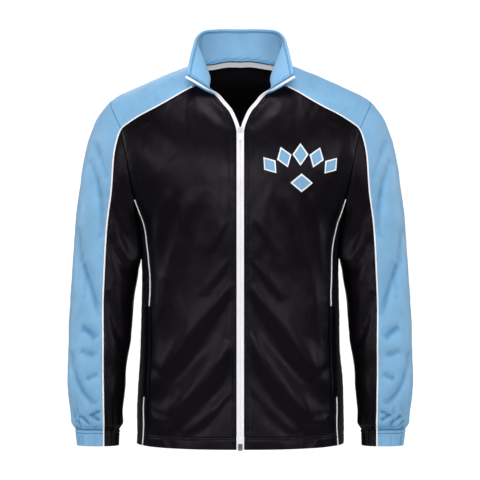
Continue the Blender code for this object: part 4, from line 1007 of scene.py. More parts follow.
def effect(name, outputs, **inputs):
    """Turns a function that fills a shader node group into one that builds the group once."""

    def of_fill(fill):
        def group():
            found = bpy.data.node_groups.get(name)
            if found:
                return found
            made = bpy.data.node_groups.new(name, "ShaderNodeTree")
            for label, value in inputs.items():
                kind = "NodeSocketVector" if value is None else "NodeSocketFloat"
                socket = made.interface.new_socket(label, in_out="INPUT", socket_type=kind)
                if value is not None:
                    socket.default_value = value
            for label in outputs:
                made.interface.new_socket(label, in_out="OUTPUT", socket_type="NodeSocketFloat")
            given = made.nodes.new("NodeGroupInput").outputs
            end = made.nodes.new("NodeGroupOutput")
            wire(made, end, fill(made, partial(calc, made), given))
            return made

        return group

    return of_fill


@effect("tricot knit", ("Height", "Shade"), UV=None, Pitch=0.0008)
def knit(group, maths, given):
    """Columns of small V stitches: height for the bump, shade for the colour."""
    uv = add_node(group, "ShaderNodeSeparateXYZ", {0: given["UV"]})
    u, v = (maths("DIVIDE", uv.outputs[axis], given["Pitch"]) for axis in (0, 1))
    side = maths("ABSOLUTE", maths("SUBTRACT", maths("FRACT", u), 0.5))
    slant = maths("ADD", maths("MULTIPLY", v, KNIT_ROWS), maths("MULTIPLY", side, KNIT_SLANT))
    loop = maths("ABSOLUTE", maths("SUBTRACT", maths("FRACT", slant), 0.5))
    column = maths("SUBTRACT", 1.0, maths("MULTIPLY", side, 2.0))
    height = maths("MULTIPLY", column, maths("ADD", 0.5, loop))
    plain, added = KNIT_SHADE
    return {"Height": height, "Shade": maths("ADD", plain, maths("MULTIPLY", height, added))}


@effect("herringbone", ("Height", "Shade"), UV=None, Stripe=0.0020, Yarn=0.0007)
def herringbone(group, maths, given):
    """Slanted yarns that turn back in each stripe."""
    uv = add_node(group, "ShaderNodeSeparateXYZ", {0: given["UV"]})
    zigzag = maths("PINGPONG", maths("DIVIDE", uv.outputs[0], given["Stripe"]), 0.5)
    run = maths("DIVIDE", uv.outputs[1], given["Yarn"])
    yarn = maths("ADD", run, maths("MULTIPLY", zigzag, YARN_SLANT))
    height = maths("SINE", maths("MULTIPLY", yarn, 2 * math.pi))
    plain, added = YARN_SHADE
    return {"Height": height, "Shade": maths("ADD", plain, maths("MULTIPLY", height, added))}


@effect("unevenness", ("Shade", "Rough", "Height"), Scale=30.0, Amount=0.2)
def unevenness(group, maths, given):
    """Soft cloudy unevenness: shade for the colour, rough for the gloss, height for the bump."""
    place = add_node(group, "ShaderNodeTexCoord").outputs["Object"]
    near = maths("MULTIPLY", given["Scale"], 9.0)
    far = given["Scale"]
    broad = add_node(group, "ShaderNodeTexNoise", {"Vector": place, "Scale": far, "Detail": 3.0})
    fine = add_node(group, "ShaderNodeTexNoise", {"Vector": place, "Scale": near, "Detail": 4.0})
    amount = maths("MULTIPLY", maths("SUBTRACT", broad.outputs["Fac"], 0.5), given["Amount"])
    return {
        "Shade": maths("ADD", 1.0, amount),
        "Rough": maths("MULTIPLY", amount, -0.5),
        "Height": fine.outputs["Fac"],
    }


def vectors(tree, operation, **inputs):
    """A vector node: first and second are its vectors, scale is its factor."""
    keys = {"first": 0, "second": 1, "scale": "Scale"}
    given = {keys[name]: value for name, value in inputs.items()}
    return add_node(tree, "ShaderNodeVectorMath", given, operation=operation).outputs[0]


def tinted(tree, colour, *shades):
    """The colour multiplied by each shade."""
    mixed = add_node(tree, "ShaderNodeRGB").outputs[0]
    mixed.default_value = (*colour, 1.0)
    for shade in shades:
        mixed = vectors(tree, "SCALE", first=mixed, scale=shade)
    return mixed


def bump(tree, height, strength, distance, below=None):
    inputs = {"Height": height, "Strength": strength, "Distance": distance}
    if below:
        inputs["Normal"] = below
    return add_node(tree, "ShaderNodeBump", inputs).outputs[0]


def start_finish(name, colour):
    made = bpy.data.materials.new(name)
    made.use_nodes = True
    made.diffuse_color = (*colour, 1.0)
    return made, made.node_tree, made.node_tree.nodes["Principled BSDF"]


def cloth_finish(
    name, colour, roughness, gloss, sheen=0.0, weave=knit, relief=0.0001, tint=(1, 1, 1), sunk=NEUTRAL_PAINTED_CREASE_SHADE
):
    """Cloth with its weave, a cloudy unevenness, a soft sheen and painted shade in its creases and beside
    its seams.
    """
    found = bpy.data.materials.get(name)
    if found:
        return found
    made, tree, shader = start_finish(name, colour)
    uv = add_node(tree, "ShaderNodeUVMap", uv_map="cloth").outputs[0]
    yarns = add_node(tree, "ShaderNodeGroup", {"UV": uv}, node_tree=weave())
    cloud = add_node(tree, "ShaderNodeGroup", {"Scale": 26.0, "Amount": 0.30}, node_tree=unevenness())
    # Painted shade: the crease attribute takes the colour sunk out of the base colour in creases and beside
    # seams, where shade falls
    crease = add_node(tree, "ShaderNodeAttribute", attribute_name="crease").outputs["Fac"]
    painted_shade = vectors(tree, "SCALE", first=sunk, scale=crease)
    kept = vectors(tree, "SUBTRACT", first=(1, 1, 1), second=painted_shade)
    plain = tinted(tree, colour, yarns.outputs["Shade"], cloud.outputs["Shade"])
    cloudy = bump(tree, cloud.outputs["Height"], strength=0.3, distance=0.0003)
    wire(tree, shader, {
        "Base Color": vectors(tree, "MULTIPLY", first=plain, second=kept),
        "Roughness": calc(tree, "ADD", cloud.outputs["Rough"], roughness),
        "Normal": bump(tree, yarns.outputs["Height"], strength=0.35, distance=relief, below=cloudy),
        "Specular IOR Level": gloss,
        "Specular Tint": (*tint, 1),
        "Sheen Weight": sheen,
        "Sheen Roughness": 0.45,
    })
    return made


def hard_finish(name, colour, roughness, coat=0.0):
    """Moulded plastic or enamelled metal with slight wear in its gloss."""
    found = bpy.data.materials.get(name)
    if found:
        return found
    made, tree, shader = start_finish(name, colour)
    cloud = add_node(tree, "ShaderNodeGroup", {"Scale": 260.0, "Amount": 0.16}, node_tree=unevenness())
    wire(tree, shader, {
        "Base Color": tinted(tree, colour, cloud.outputs["Shade"]),
        "Roughness": calc(tree, "ADD", cloud.outputs["Rough"], roughness),
        "Normal": bump(tree, cloud.outputs["Height"], strength=0.25, distance=0.00005),
        "Coat Weight": coat,
    })
    return made


BLUE_SHEEN = {"roughness": 0.56, "gloss": 0.36, "sheen": 0.10, "sunk": BLUE_PAINTED_CREASE_SHADE}


def blue_cloth():
    colour = bpy.context.scene.jacket_cloth.blue
    return cloth_finish("light blue tricot", colour, **BLUE_SHEEN)


def collar_cloth_painted_light():
    """The collar's cloth: the same blue, painted lighter to stand in for the light that falls on the
    collar.
    """
    colour = bpy.context.scene.jacket_cloth.collar_blue_painted_light
    return cloth_finish("collar light blue tricot", colour, **BLUE_SHEEN)


def black_cloth():
    colour = bpy.context.scene.jacket_cloth.black
    return cloth_finish("black tricot", colour, roughness=0.35, gloss=0.11, tint=BLACK_TINT)


def side_cloth_painted_light():
    """The sides' cloth: the same black, painted lighter to stand in for the light that falls on the sides.
    """
    colour = bpy.context.scene.jacket_cloth.side_black_painted_light
    return cloth_finish("side black tricot", colour, roughness=0.42, gloss=0.16, tint=BLACK_TINT)


def trim_cloth():
    """White satin for the piping and the badge."""
    looks = {"roughness": 0.42, "gloss": 0.4, "sheen": 0.05, "relief": 0.00005}
    return cloth_finish("white satin binding", bpy.context.scene.jacket_trim.white, **looks)


def tape_cloth():
    """Herringbone for the neck tape and the zip's tapes."""
    looks = {"roughness": 0.60, "gloss": 0.3, "sheen": 0.05, "weave": herringbone, "relief": 0.00012}
    return cloth_finish("white woven tape", bpy.context.scene.jacket_trim.white, **looks)


# ---------------------------------------------------------------- meshes


def denser(stack, axis, first, last, extra):
    """The grid with extra lines between each pair of its lines from first to last."""
    stack = np.moveaxis(stack, axis, 0)
    shares = np.arange(1, extra + 1) / (extra + 1)
    lines = []
    for k in range(len(stack)):
        lines.append(stack[k])
        if first <= k < last:
            lines += [stack[k] + (stack[k + 1] - stack[k]) * share for share in shares]
    return np.moveaxis(np.stack(lines), 0, axis)


def edge_rows(stack):
    """Two more lines beside each edge, where the cloth rolls into its seam."""
    for axis in (0, 1):
        stack = denser(stack, axis, 0, 1, 2)
        count = stack.shape[axis]
        stack = denser(stack, axis, count - 2, count - 1, 2)
    return stack


def from_edges(points):
    """Distance from each edge of the grid, and the run along that edge."""
    down, across = run_along(points, 0), run_along(points, 1)
    return {
        "top": (down, across),
        "bottom": (down[-1:] - down, across),
        "left": (across, down),
        "right": (across[:, -1:] - across, down),
    }


def seam_lift(points, sewn, seed):
    """The roll into each sewn edge, with the small puckers that its stitches draw."""
    edges = from_edges(points)
    lift = np.zeros(points.shape[:2])
    for k, edge in enumerate(sewn):
        distance, run = edges[edge]
        lift -= SEAM_DIP * bell(distance / SEAM_ROLL)
        wave = np.sin(run / PUCKER_LONG + seed + k) + 0.7 * np.sin(run / PUCKER_SHORT + 2.3 * seed)
        near = bell(distance / PUCKER_REACH) * (1 - bell(distance / PUCKER_CLEAR))
        lift += PUCKER_DEPTH * wave * near
    return lift


def grooves(distance, places):
    """Dips under rows of stitches at these distances from an edge."""
    return sum(-STITCH_DIP * bell((distance - place) / STITCH_REACH) for place in places)


def rim_roll(points, edge):
    """The collar's edge, rounded out over its seam allowance and sunk hard at its stitching."""
    distance = from_edges(points)[edge][0]
    swell = RIM_SWELL * bell((distance - RIM_MIDDLE) / RIM_REACH)
    return swell - RIM_DIP * bell((distance - COLLAR_STITCHES[0]) / RIM_DIP_REACH)


def wall_faces(rows, columns, turned):
    """Faces of a closed wall: its outside, its inside and its rim."""
    index = np.arange(rows * columns).reshape(rows, columns)
    quads = np.stack([index[:-1, :-1], index[:-1, 1:], index[1:, 1:], index[1:, :-1]], axis=-1)
    quads = quads.reshape(-1, 4)
    edge = np.concatenate([index[0], index[1:, -1], index[-1, -2::-1], index[-2:0:-1, 0]])
    onward = np.roll(edge, -1)
    offset = rows * columns
    rim = np.stack([onward, edge, edge + offset, onward + offset], axis=-1)
    faces = np.concatenate([quads, quads[:, ::-1] + offset, rim])
    return (faces[:, ::-1] if turned else faces).tolist()


def mesh_object(name, points, faces, finish, uv=None, smooth_angle=60):
    """A smooth mesh with its finish and, where given, one UV for each point."""
    mesh = bpy.data.meshes.new(name)
    mesh.from_pydata(np.asarray(points).tolist(), [], list(faces))
    mesh.materials.append(finish)
    if uv is not None:
        corners = np.empty(len(mesh.loops), np.int32)
        mesh.loops.foreach_get("vertex_index", corners)
        layer = mesh.uv_layers.new(name="cloth")
        layer.data.foreach_set("uv", np.asarray(uv, np.float32)[corners].ravel())
    mesh.shade_smooth()
    mesh.set_sharp_from_angle(angle=math.radians(smooth_angle))
    made = bpy.data.objects.new(name, mesh)
    bpy.context.scene.collection.objects.link(made)
    return made


def bending(points, normals):
    """How sharply the folded sheet bends: below 0 in a crease, above 0 on a ridge."""
    lines = [np.gradient(points, axis=axis) for axis in (0, 1)]
    facing = unit(np.cross(*lines))
    facing *= np.sign((facing * normals).sum(-1, keepdims=True))
    turn = facing - normals
    bend = np.zeros(points.shape[:2])
    for axis, line in enumerate(lines):
        bend += (np.gradient(turn, axis=axis) * line).sum(-1) / np.maximum((line**2).sum(-1), 1e-10)
    return bend


def seam_shade(points, sewn):
    """Shading in the last millimetre before each sewn edge."""
    edges = from_edges(points)
    return sum(SEAM_SHADE * bell(edges[edge][0] / SEAM_SHADE_REACH) for edge in sewn)


def cloth_wall(name, points, normals, wall, finish, shade=0.0, rounding=EDGE_ROUNDING):
    """A closed wall of cloth: the grid outside, and its inner face one wall thickness in."""
    depth = np.broadcast_to(np.asarray(wall, float), points.shape[:2])[..., None]
    inner = points - depth * normals
    rows, columns = points.shape[:2]
    i, j = rows // 2, columns // 2
    facing = np.cross(points[i, j] - points[i, j - 1], points[i, j] - points[i - 1, j])
    faces = wall_faces(rows, columns, float(facing @ normals[i, j]) < 0)
    both = np.concatenate([points.reshape(-1, 3), inner.reshape(-1, 3)])
    flat = np.stack([run_along(points, 1), -run_along(points, 0)], axis=-1).reshape(-1, 2)
    made = mesh_object(f"cloth_{name}", both, faces, finish, np.concatenate([flat, flat]), CLOTH_ANGLE)
    # Painted shade: the crease attribute darkens each face where it bends into a crease, and beside its
    # sewn edges
    bend = bending(points, normals)
    shades = [np.tanh(np.maximum(creased, 0) / CREASE_BEND) + shade for creased in (-bend, bend)]
    crease = made.data.attributes.new("crease", "FLOAT", "POINT")
    crease.data.foreach_set("value", np.minimum(shades, 1.0).astype(np.float32).ravel())
    rounded = made.modifiers.new("rounded edge", "BEVEL")
    rounded.width, rounded.segments = rounding, 2
    rounded.limit_method, rounded.angle_limit = "ANGLE", math.radians(60)
    return made


def piece_of(made, body, slot, *nodes):
    """Sets the body that a piece rides on and hides the solids that it stands for. The slot is not used."""
    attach(made, body)
    if nodes:
        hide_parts(*nodes)
    return made


def declare_cloth(made):
    """Works out a piece of cloth's lengths down and across, and does nothing more with them."""
    points, _ = GRIDS[made.name.removeprefix("cloth_")]
    down, across = run_along(points, 0), run_along(points, 1)


def sewn_piece(
    name, grid, wall, finish, slot,
    seed=0.0, sewn=BUT_BOTTOM, stitching=(), finer=(), rims=(),
):
    """One cut piece: its seams rolled in, its rows of stitches sunk, and its wall closed."""
    stack = np.concatenate(grid, axis=-1)
    for axis, first, last, extra in finer:
        size = stack.shape[axis]
        stack = denser(stack, axis, first % size, last % size if last else size - 1, extra)
    stack = edge_rows(stack)
    points, normals = stack[..., :3], unit(stack[..., 3:])
    lift = seam_lift(points, sewn, seed)
    edges = from_edges(points)
    for edge, places in stitching:
        lift = lift + grooves(edges[edge][0], places)
    for edge in rims:
        lift = lift - rim_roll(points, edge)
    points = points + lift[..., None] * normals
    GRIDS[name] = (points, normals)
    if callable(wall):
        wall = wall(points)
    made = cloth_wall(name, points, normals, wall, finish, seam_shade(points, sewn))
    piece_of(made, "jacket", slot, name)
    declare_cloth(made)


def line_on(name, edge, distance, part=slice(None), lift=0.0):
    """Points and normals on a finished piece, at one distance from its edge."""
    points, normals = GRIDS[name]
    away = from_edges(points)[edge][0]
    if edge in ("left", "right"):
        points, normals, away = (np.swapaxes(item, 0, 1) for item in (points, normals, away))
    if edge in ("bottom", "right"):
        points, normals, away = points[::-1], normals[::-1], away[::-1]
    columns = range(points.shape[1])[part]
    both = np.concatenate([points, normals], axis=-1)
    line = [[np.interp(distance, away[:, c], both[:, c, k]) for k in range(6)] for c in columns]
    line = np.array(line)
    normals = unit(line[:, 3:])
    return line[:, :3] + normals * lift, normals


def through_points(keys, rows, picked):
    """The line of rows of x, y and z at these keys, drawn straight from point to point."""
    return np.stack([np.interp(picked, keys, rows[:, k]) for k in range(3)], axis=1)


def resampled(points, normals, pitch, start):
    """Evenly spaced spots along a line: points, normals and tangents."""
    along = run_along(points, 0)
    keys = np.arange(start * pitch, along[-1], pitch)
    after = through_points(along, points, np.minimum(keys + pitch / 3, along[-1]))
    before = through_points(along, points, np.maximum(keys - pitch / 3, 0))
    places, out = (through_points(along, rows, keys) for rows in (points, normals))
    return places, unit(out), unit(after - before)


def repeated(name, template, spots, finish):
    """One mesh that holds a copy of the template at every spot. The template leaves the scene."""
    verts = np.empty(len(template.data.vertices) * 3)
    template.data.vertices.foreach_get("co", verts)
    verts = verts.reshape(-1, 3)
    shapes = [list(face.vertices) for face in template.data.polygons]
    places, faces, offset = [], [], 0
    for points, normals, tangents in spots:
        across = unit(np.cross(normals, tangents))
        out = np.cross(tangents, across)
        axes = np.stack([tangents, across, out], axis=1)
        copies = points[:, None, :] + np.einsum("vk,nkj->nvj", verts, axes)
        places.append(copies.reshape(-1, 3))
        for k in range(len(points)):
            base = offset + k * len(verts)
            faces += [[base + corner for corner in face] for face in shapes]
        offset += len(points) * len(verts)
    made = mesh_object(name, np.concatenate(places), faces, finish)
    bpy.data.objects.remove(template, do_unlink=True)
    return made


def sweep(name, path, normals, across, profile, finish):
    """A strip along a path. The profile is a closed outline of steps across and out."""
    profile = np.asarray(profile)[None]
    corners = path[:, None] + across[:, None] * profile[..., :1] + normals[:, None] * profile[..., 1:]
    count, size = corners.shape[:2]
    index = np.arange(count * size).reshape(count, size)
    around = np.roll(index, -1, axis=1)
    faces = np.stack([index[:-1], around[:-1], around[1:], index[1:]], axis=-1).reshape(-1, 4)
    middle = corners[count // 2]
    outward = np.cross(middle[1] - middle[0], corners[count // 2 + 1, 0] - middle[0])
    if float(outward @ (middle[0] - middle.mean(0))) < 0:
        faces = faces[:, ::-1]
        caps = [index[0].tolist(), index[-1, ::-1].tolist()]
    else:
        caps = [index[0, ::-1].tolist(), index[-1].tolist()]
    faces = faces.tolist() + caps
    uv = np.stack(np.broadcast_arrays(profile[..., 0], run_along(path, 0)[:, None]), axis=-1)
    return mesh_object(f"sewn_{name}", corners.reshape(-1, 3), faces, finish, uv.reshape(-1, 2))


# ---------------------------------------------------------------- hard pieces


def choose(*parts):
    """Chooses these objects and nothing else. The first is the active one."""
    for chosen in bpy.context.selected_objects:
        chosen.select_set(False)
    for part in parts:
        part.select_set(True)
    bpy.context.view_layer.objects.active = parts[0] if parts else None


def edit_mode(on):
    bpy.ops.object.mode_set(mode="EDIT" if on else "OBJECT")


def box_at(size, centre):
    choose()
    bpy.ops.mesh.primitive_cube_add(size=1.0, location=centre)
    made = bpy.context.active_object
    made.scale = size
    bpy.ops.object.transform_apply(location=True, rotation=False, scale=True)
    return made


def cut_across(axis, levels):
    """Cuts the whole mesh, in edit mode, on planes across one axis."""
    way = [float(k == axis) for k in range(3)]
    for level in levels:
        bpy.ops.mesh.select_all(action="SELECT")
        bpy.ops.mesh.bisect(plane_co=[level * k for k in way], plane_no=way)


def choose_faces(made, test):
    """Chooses in edit mode the faces whose centre and normal pass the test."""
    bpy.ops.mesh.select_all(action="DESELECT")
    edited = bmesh.from_edit_mesh(made.data)
    for face in edited.faces:
        face.select_set(bool(test(face.calc_center_median(), face.normal)))
    bmesh.update_edit_mesh(made.data)


def facing_out(centre, normal):
    return normal.z > 0.9


def taper_to(made, taper, middle=0.0):
    """Narrows a hard piece level by level along Y, apart from what lies within its middle."""
    levels, shares = zip(*taper)
    for corner in made.data.vertices:
        if abs(corner.co.x) > middle:
            corner.co.x *= float(np.interp(corner.co.y, levels, shares))


def stand_at(made, place, name, finish, rounding=HARD_ROUNDING):
    """Rounds a hard piece's edges, moves its mesh to its place and names it."""
    choose(made)
    rounded = made.modifiers.new("rounded edge", "BEVEL")
    rounded.width, rounded.segments, rounded.limit_method = rounding, 2, "ANGLE"
    bpy.ops.object.modifier_apply(modifier=rounded.name)
    made.data.transform(place @ made.matrix_world)
    made.matrix_world = Matrix.Identity(4)
    made.name = made.data.name = name
    made.data.materials.clear()
    made.data.materials.append(finish)
    bpy.ops.object.shade_smooth_by_angle(angle=math.radians(HARD_ANGLE))


# ---------------------------------------------------------------- sizes and colours to change


Colour = partial(FloatVectorProperty, subtype="COLOR", min=0, max=1)
Length = partial(FloatProperty, unit="LENGTH")
Power = partial(FloatProperty, unit="POWER", min=0, max=2000)


class JacketCloth(bpy.types.PropertyGroup):
    """The cloth of the jacket."""

    blue: Colour(
        name="Blue cloth", description="Colour of the yokes, sleeves and cuffs",
        default=(0.184, 0.388, 0.600),
    )
    # Painted light: the collar's blue is lighter than the blue cloth, to stand in for the light on the
    # collar
    collar_blue_painted_light: Colour(
        name="Collar blue", description="Colour of the collar", default=(0.230, 0.465, 0.720)
    )
    black: Colour(
        name="Black cloth", description="Colour of the fronts, the back and the under sleeves",
        default=(0.0024, 0.0020, 0.0027),
    )
    # Painted light: the side panels' black is lighter than the black cloth, to stand in for the light on
    # the sides
    side_black_painted_light: Colour(
        name="Side black", description="Colour of the side panels", default=(0.0080, 0.0076, 0.0088)
    )
    wall: Length(
        name="Cloth wall", description="Thickness of one layer of cloth",
        min=0.001, max=0.003, default=0.0015,
    )
    hem_wall: Length(
        name="Hem wall", description="Thickness of the turned hem", min=0.002, max=0.005, default=0.0030
    )
    collar_wall: Length(
        name="Collar wall", description="Thickness of the doubled collar",
        min=0.0015, max=0.004, default=0.0024,
    )


class JacketTrim(bpy.types.PropertyGroup):
    """Piping, tapes and stitches."""

    white: Colour(
        name="White trim", description="Colour of the piping and the tapes", default=(0.860, 0.860, 0.880)
    )
    stitch_length: Length(
        name="Stitch length", description="Length of one stitch", min=0.001, max=0.005, default=0.0023
    )
    stitch_gap: Length(
        name="Stitch gap", description="Space between two stitches", min=0.0002, max=0.003, default=0.0006
    )
    thread_width: Length(
        name="Thread width", description="Width of the sewing thread",
        min=0.0002, max=0.001, default=0.00045,
    )


class JacketZip(bpy.types.PropertyGroup):
    """The zip."""

    white: Colour(
        name="White zip", description="Colour of the coil and the pull tab", default=(0.88, 0.88, 0.90)
    )
    # Painted shade: the slider's white enamel is made grey, to stand in for its shading against the white
    # tab
    slider: Colour(name="Slider", description="Colour of the slider", default=(0.60, 0.60, 0.63))
    dark: Colour(
        name="Dark end", description="Colour of the box at the zip's foot", default=(0.08, 0.08, 0.09)
    )
    coil_pitch: Length(
        name="Coil pitch", description="Distance from one turn of the coil to the next",
        min=0.001, max=0.003, default=0.0015,
    )


class JacketStage(bpy.types.PropertyGroup):
    """Floor, lights and camera."""

    paper: Colour(name="Floor", description="Colour of the floor", default=(0.66, 0.66, 0.66))
    floor_z: Length(name="Floor height", description="Height of the floor", min=-3, max=-0.7, default=-1.4)
    distance: Length(
        name="Camera distance", description="From the camera to the jacket", min=1, max=10, default=3.6
    )
    lens: FloatProperty(
        name="Lens", description="Focal length of the camera",
        unit="CAMERA", min=30, max=300, default=148.35,
    )
    key_power: Power(name="Key light", description="Power of the large light above the front", default=60)
    front_power: Power(
        name="Front lights", description="Power of the large lights left and right of the front", default=44
    )
    top_power: Power(name="Top light", description="Power of the light above the shoulders", default=33)
    side_power: Power(
        name="Side lights", description="Power of the lights that edge the sleeves", default=28
    )
    back_power: Power(name="Back light", description="Power of the light on the back", default=26)
    sky: FloatProperty(
        name="Room light", description="Strength of the even light all round", min=0, max=3, default=0.12
    )


# ---------------------------------------------------------------- cloth pieces


# Stretches of a grid that get extra lines for their stitches, from line first to line last along one axis
Finer = namedtuple("Finer", "axis first last extra")
HEM_FINE = Finer(0, -10, 0, 2)
CUFF_FINE = Finer(0, 0, 6, 2)
COLLAR_FINE = Finer(0, -6, 0, 3)


def hem_wall(points):
    """The cloth's thickness, doubled where the hem is turned up."""
    cloth = bpy.context.scene.jacket_cloth
    rise = points[..., 2] - HEM_Z
    turned_up = 1 - soft((rise - HEM_HEIGHT + HEM_EDGE) / (2 * HEM_EDGE))
    return cloth.wall + (cloth.hem_wall - cloth.wall) * turned_up


def torso_patch(seams, names, side):
    """Points and normals inside four seams: top, bottom, left and right, on one side of the body."""
    return torso_surface(mirrored(patch(*(seams[name] for name in names)), side))


def front_pieces():
    seams = dict(pattern()["seams"])
    seams["front_top"] = joined(seams["neck_front"], seams["yoke_front"])
    seams["front_outside"] = joined(seams["armhole_front"], seams["side_front"])
    for word, side in SIDES:
        grid = torso_patch(seams, ("front_top", "hem_front", "zip", "front_outside"), side)
        rows = [("bottom", HEM_STITCHES), ("left", FRONT_STITCHES)]
        sewn_piece(
            f"front_{word}", grid, hem_wall, black_cloth(), "black_tricot",
            seed=1.3 * side, stitching=rows, finer=[HEM_FINE],
        )


def side_pieces():
    names = ("armhole_side", "hem_side", "side_front", "side_edge")
    for word, side in SIDES:
        grid = torso_patch(pattern()["seams"], names, side)
        sewn_piece(
            f"side_panel_{word}", grid, hem_wall, side_cloth_painted_light(), "black_tricot",
            seed=2.1 * side, stitching=[("bottom", HEM_STITCHES)], finer=[HEM_FINE],
        )


def yoke_pieces():
    wall = bpy.context.scene.jacket_cloth.wall
    names = ("yoke_front", "yoke_back", "neck_yoke", "armhole_yoke")
    for word, side in SIDES:
        grid = torso_patch(pattern()["seams"], names, side)
        name = f"yoke_{word}"
        sewn_piece(name, grid, wall, blue_cloth(), "blue_tricot", seed=0.7 * side, sewn=ALL_EDGES)


def back_piece():
    seams = pattern()["seams"]
    yoke, neck = seams["yoke_back"], seams["neck_back"]
    top = joined(mirrored(yoke)[::-1], mirrored(neck), neck[::-1], yoke)
    outside = joined(seams["armhole_back"][::-1], seams["side_back"])
    bottom = hem_place(np.linspace(-1, 1, len(top)), back=True)
    bottom[0], bottom[-1] = mirrored(outside[-1]), outside[-1]
    grid = torso_surface(patch(top, bottom, mirrored(outside), outside))
    sewn_piece(
        "back", grid, hem_wall, black_cloth(), "black_tricot",
        seed=0.4, stitching=[("bottom", HEM_STITCHES)], finer=[HEM_FINE],
    )


def arm_parts(first_ring, last_ring):
    """Each outer and under part of the arms between two rings: its name, grid, cloth, slot and seed."""
    rings = slice(first_ring * RING_FINE, last_ring * RING_FINE + 1)
    for word, side in SIDES:
        points, normals = pattern()["sleeve", side]
        for part, start, end, finish, slot in (
            ("outer", 0, YOKE_ARMHOLE, blue_cloth(), "blue_tricot"),
            ("under", YOKE_ARMHOLE, LOOP, black_cloth(), "black_tricot"),
        ):
            grid = [rows[rings, start : end + 1] for rows in (points, normals)]
            yield word, side, f"{part}_{word}", grid, finish, slot, start


def sleeve_pieces():
    wall = bpy.context.scene.jacket_cloth.wall
    for word, side, name, grid, finish, slot, seed in arm_parts(0, SLEEVE_RINGS):
        sewn_piece(
            f"sleeve_{name}", grid, wall, finish, slot,
            seed=side + seed, sewn=ALL_EDGES,
        )


def cuff_pieces():
    for _, side, name, grid, finish, slot, seed in arm_parts(SLEEVE_RINGS, SLEEVE_RINGS + CUFF_RINGS):
        sewn_piece(
            f"cuff_{name}", grid, CUFF_WALL, finish, slot,
            seed=2 * side + seed, stitching=[("top", CUFF_STITCHES)], finer=[CUFF_FINE],
        )


def collar_piece():
    wall = bpy.context.scene.jacket_cloth.collar_wall
    rows = [(edge, COLLAR_STITCHES) for edge in BUT_TOP]
    sewn_piece(
        "collar", pattern()["collar"], wall, collar_cloth_painted_light(), "blue_tricot",
        seed=0.2, stitching=rows, finer=[COLLAR_FINE], rims=BUT_TOP,
    )


def neck_tape_piece():
    """The tape over the neck seam, on the inner face of the back."""
    columns = YOKE_SEAM + 2
    neck = slice(columns, GRIDS["back"][0].shape[1] - columns)
    lift = -bpy.context.scene.jacket_cloth.wall - NECK_TAPE_LIFT
    places = NECK_TAPE_START + NECK_TAPE_HEIGHT * np.linspace(0, 1, NECK_TAPE_ROWS + 1)
    points = np.stack([line_on("back", "top", place, neck, lift)[0] for place in places])
    down = np.linspace(0, NECK_TAPE_HEIGHT, NECK_TAPE_ROWS + 1)[:, None, None]
    hung = points[:1] + down * np.array(NECK_TAPE_FALL)
    points = points + NECK_TAPE_HANG * (hung - points)
    normals = unit(np.cross(np.gradient(points, axis=1), np.gradient(points, axis=0)))
    normals *= np.sign(normals[..., 1:2])
    GRIDS["neck_tape"] = (points, normals)
    made = cloth_wall("neck_tape", points, normals, NECK_TAPE_WALL, tape_cloth())
    piece_of(made, "jacket", "white_tape", "neck_tape")
    declare_cloth(made)


def welt_pieces():
    """The pocket mouths: narrow welts that lie over the side seams."""
    down = np.linspace(0, 1, WELT_ROWS + 1)[:, None]
    across = np.linspace(0, 1, WELT_COLUMNS + 1)[None, :]
    z = WELT_TOP_Z + (WELT_FOOT_Z - WELT_TOP_Z) * down + 0 * across
    inner, outer = (top + (foot - top) * down for top, foot in zip(WELT_TOP_X, WELT_FOOT_X))
    places = torso_place(inner + (outer - inner) * across, z)
    for word, side in SIDES:
        points, normals = torso_surface(mirrored(places, side))
        points = points + normals * (WELT_LIFT + WELT_WALL)
        sewn_piece(
            f"pocket_welt_{word}", (points, normals), WELT_WALL, black_cloth(), "black_tricot",
            seed=side, sewn=(), stitching=[(edge, WELT_STITCHES) for edge in ALL_EDGES],
        )


# ---------------------------------------------------------------- piping


def smooth_line(path, normals, reach):
    """The line with its unevenness averaged over a reach of points to each side."""
    weights = np.ones(2 * reach + 1) / (2 * reach + 1)
    out = []
    for rows in (path, normals):
        padded = np.concatenate([np.repeat(rows[:1], reach, 0), rows, np.repeat(rows[-1:], reach, 0)])
        out.append(np.stack([np.convolve(padded[:, k], weights, "valid") for k in range(3)], axis=1))
    out[0][:reach], out[0][-reach:] = path[:reach], path[-reach:]
    return out[0], unit(out[1])


def between(line, start, end):
    """The stretch of a (points, normals) line from share start to share end of its points."""
    keys = np.linspace(0, 1, len(line[0]))
    inside = (keys > start + 1e-6) & (keys < end - 1e-6)
    picked = np.concatenate([[start], keys[inside], [end]])
    points, normals = (through_points(keys, rows, picked) for rows in line)
    return points, unit(normals)


def level_share(line, z):
    """Share of a line, counted in its points, at which it reaches the level z."""
    levels = line[0][:, 2]
    return float(np.interp(-z, -levels, np.linspace(0, 1, len(levels))))


def piping_cord(name, path, normals):
    """A satin cord in its binding, half sunk in the seam."""
    turns = np.linspace(0, 2 * math.pi, PIPING_SIDES + 1)[:-1]
    half_height = (PIPING_LIFT + PIPING_HEIGHT) / 2
    outline = [(PIPING_HALF * math.cos(a), half_height * (1 + math.sin(a)) - PIPING_SINK) for a in turns]
    across = unit(np.cross(normals, np.gradient(path, axis=0)))
    made = sweep(name, path, normals, across, outline, trim_cloth())
    piece_of(made, "jacket", "white_piping", name)


def piping_pieces():
    for word, side in SIDES:
        frames = pattern()["frames"][side]
        sleeve = pattern()["sleeve", side]
        for part, column in (("front", 0), ("back", YOKE_ARMHOLE)):
            yoke = between(frames[f"yoke_{part}"], PIPING_NECK_SHARE, 1.0)
            path, out = (joined(on_yoke, rows[:, column]) for on_yoke, rows in zip(yoke, sleeve))
            piping_cord(f"piping_yoke_{part}_{word}", *smooth_line(path, out, PIPING_EASE))
        line = frames["side_front"]
        upper = between(line, SIDE_PIPING_START, level_share(line, SIDE_PIPING_STOP_Z))
        lower = between(line, level_share(line, SIDE_PIPING_RESUME_Z), 1.0)
        piping_cord(f"piping_side_upper_{word}", *upper)
        piping_cord(f"piping_side_lower_{word}", *lower)


# ---------------------------------------------------------------- zip


